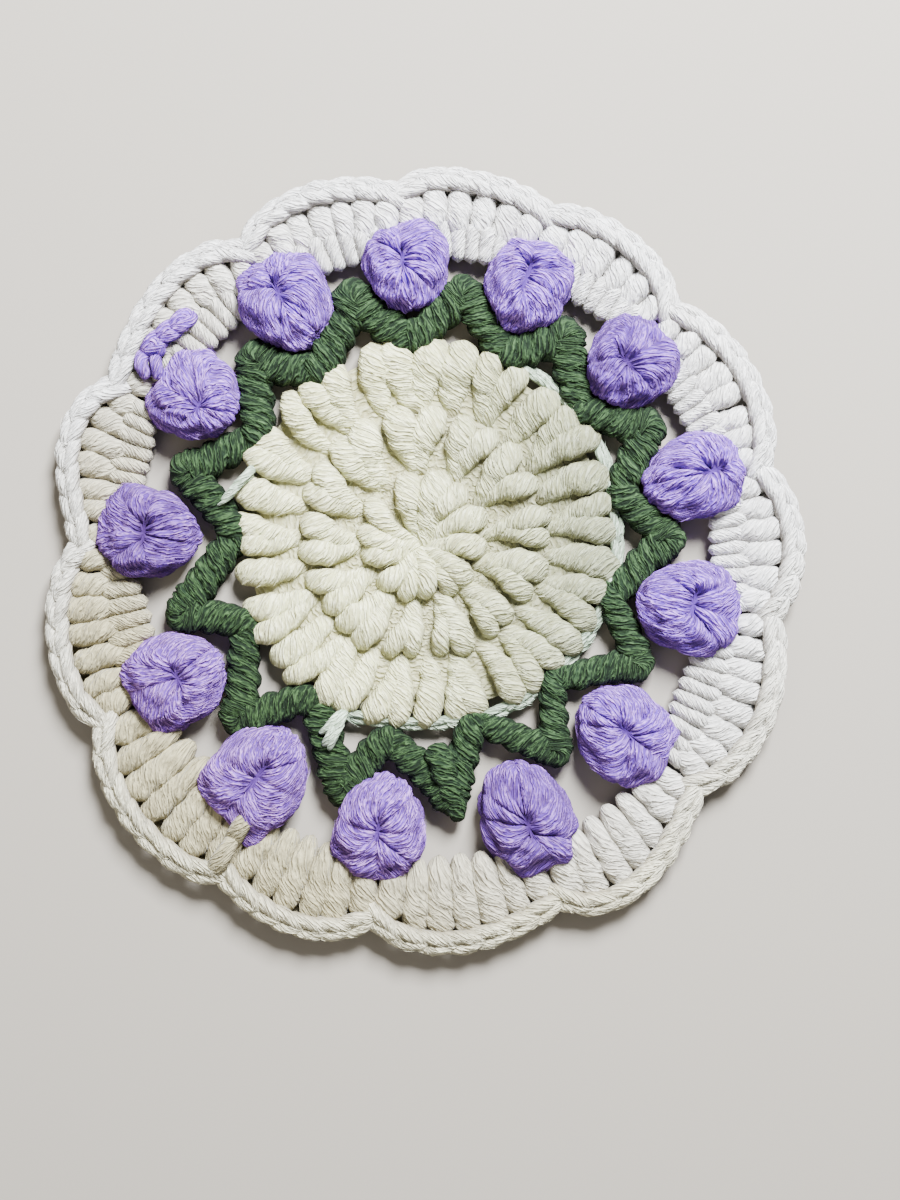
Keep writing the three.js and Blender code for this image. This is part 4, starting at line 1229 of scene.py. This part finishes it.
borderPieces = [
    makePiece("border_posts", [borderPosts()], whiteYarn),
    makePiece("border_fingers", [borderFingers()], whiteYarn),
    makePiece("border_edge_chain", [borderEdge()], edgeYarn),
]
borderSheet = makePiece("border_backing", [borderBackingPart()], whiteYarn)
for piece in [*borderPieces, borderSheet]:
    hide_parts("shell_border")
print("border stitched")

# Loose ends on the disc and the border, and the join of the green round

looseEnds = [
    ("disc", "centre_disc", "cream_yarn", mintYarn, discPieces),
    ("border", "shell_border", "white_yarn", whiteYarn, borderPieces),
    ("leaf", "leaf_round", "green_yarn", greenYarn, []),
]
for name, node, slot, finish, pieces in looseEnds:
    parts = strayStrands(strays.get(name, []))
    if name in overlays:
        parts.append(overlayChain(overlays[name]))
    piece = makePiece(f"{name}_yarn_ends", parts, finish)
    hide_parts(node)
    pieces.append(piece)
print("yarn ends laid")

# Floor and light

studio = {
    "floorSize": 3.0, "floorColour": (0.36, 0.33, 0.285), "floorRoughness": 0.8,
    "worldColour": (0.86, 0.87, 0.88), "worldStrength": 0.26,
}
lamps = namedRows("name place size power colour", [
    ("keyLight", (0.15, 0.36, 0.38), 0.2, 19.5, (0.95, 0.97, 1.0)),
    ("fillLight", (-0.5, -0.4, 0.45), 0.6, 2.0, (1.0, 0.90, 0.72)),
])


def areaLight(lamp):
    # a square light turned to face the middle of the work: tilt = atan2(distance across, height), then
    # turned to its direction across
    data = bpy.data.lights.new(lamp["name"], "AREA")
    data.size, data.energy, data.color = lamp["size"], lamp["power"], lamp["colour"]
    light = bpy.data.objects.new(lamp["name"], data)
    x, y, height = light.location = lamp["place"]
    light.rotation_euler = (math.atan2(math.hypot(x, y), height), 0.0, math.atan2(-y, -x) - math.pi / 2)
    bpy.context.scene.collection.objects.link(light)


def makeFloor():
    # a square sheet of the plain floor colour, its top at height 0
    half = studio["floorSize"] / 2
    mesh = bpy.data.meshes.new("floor")
    corners = [(-half, -half, 0), (half, -half, 0), (half, half, 0), (-half, half, 0)]
    mesh.from_pydata(corners, [], [(0, 1, 2, 3)])
    material = bpy.data.materials.new("plainPaleFloor")
    material.use_nodes = True
    shader = material.node_tree.nodes["Principled BSDF"]
    shader.inputs["Base Color"].default_value = (*studio["floorColour"], 1.0)
    shader.inputs["Roughness"].default_value = studio["floorRoughness"]
    mesh.materials.append(material)
    floor = bpy.data.objects.new("floor", mesh)
    bpy.context.scene.collection.objects.link(floor)
    floor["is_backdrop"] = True


def makeWorld():
    # even light from all around
    world = bpy.data.worlds.new("softStudio")
    world.use_nodes = True
    background = world.node_tree.nodes["Background"]
    background.inputs["Color"].default_value = (*studio["worldColour"], 1.0)
    background.inputs["Strength"].default_value = studio["worldStrength"]
    bpy.context.scene.world = world


makeFloor()
makeWorld()
for lamp in lamps:
    areaLight(lamp)

# a face of n corners is n - 2 triangles
triangles = [len(piece.data.loops) - 2 * len(piece.data.polygons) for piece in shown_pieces()]
print("triangles", sum(triangles), "largest", max(triangles))
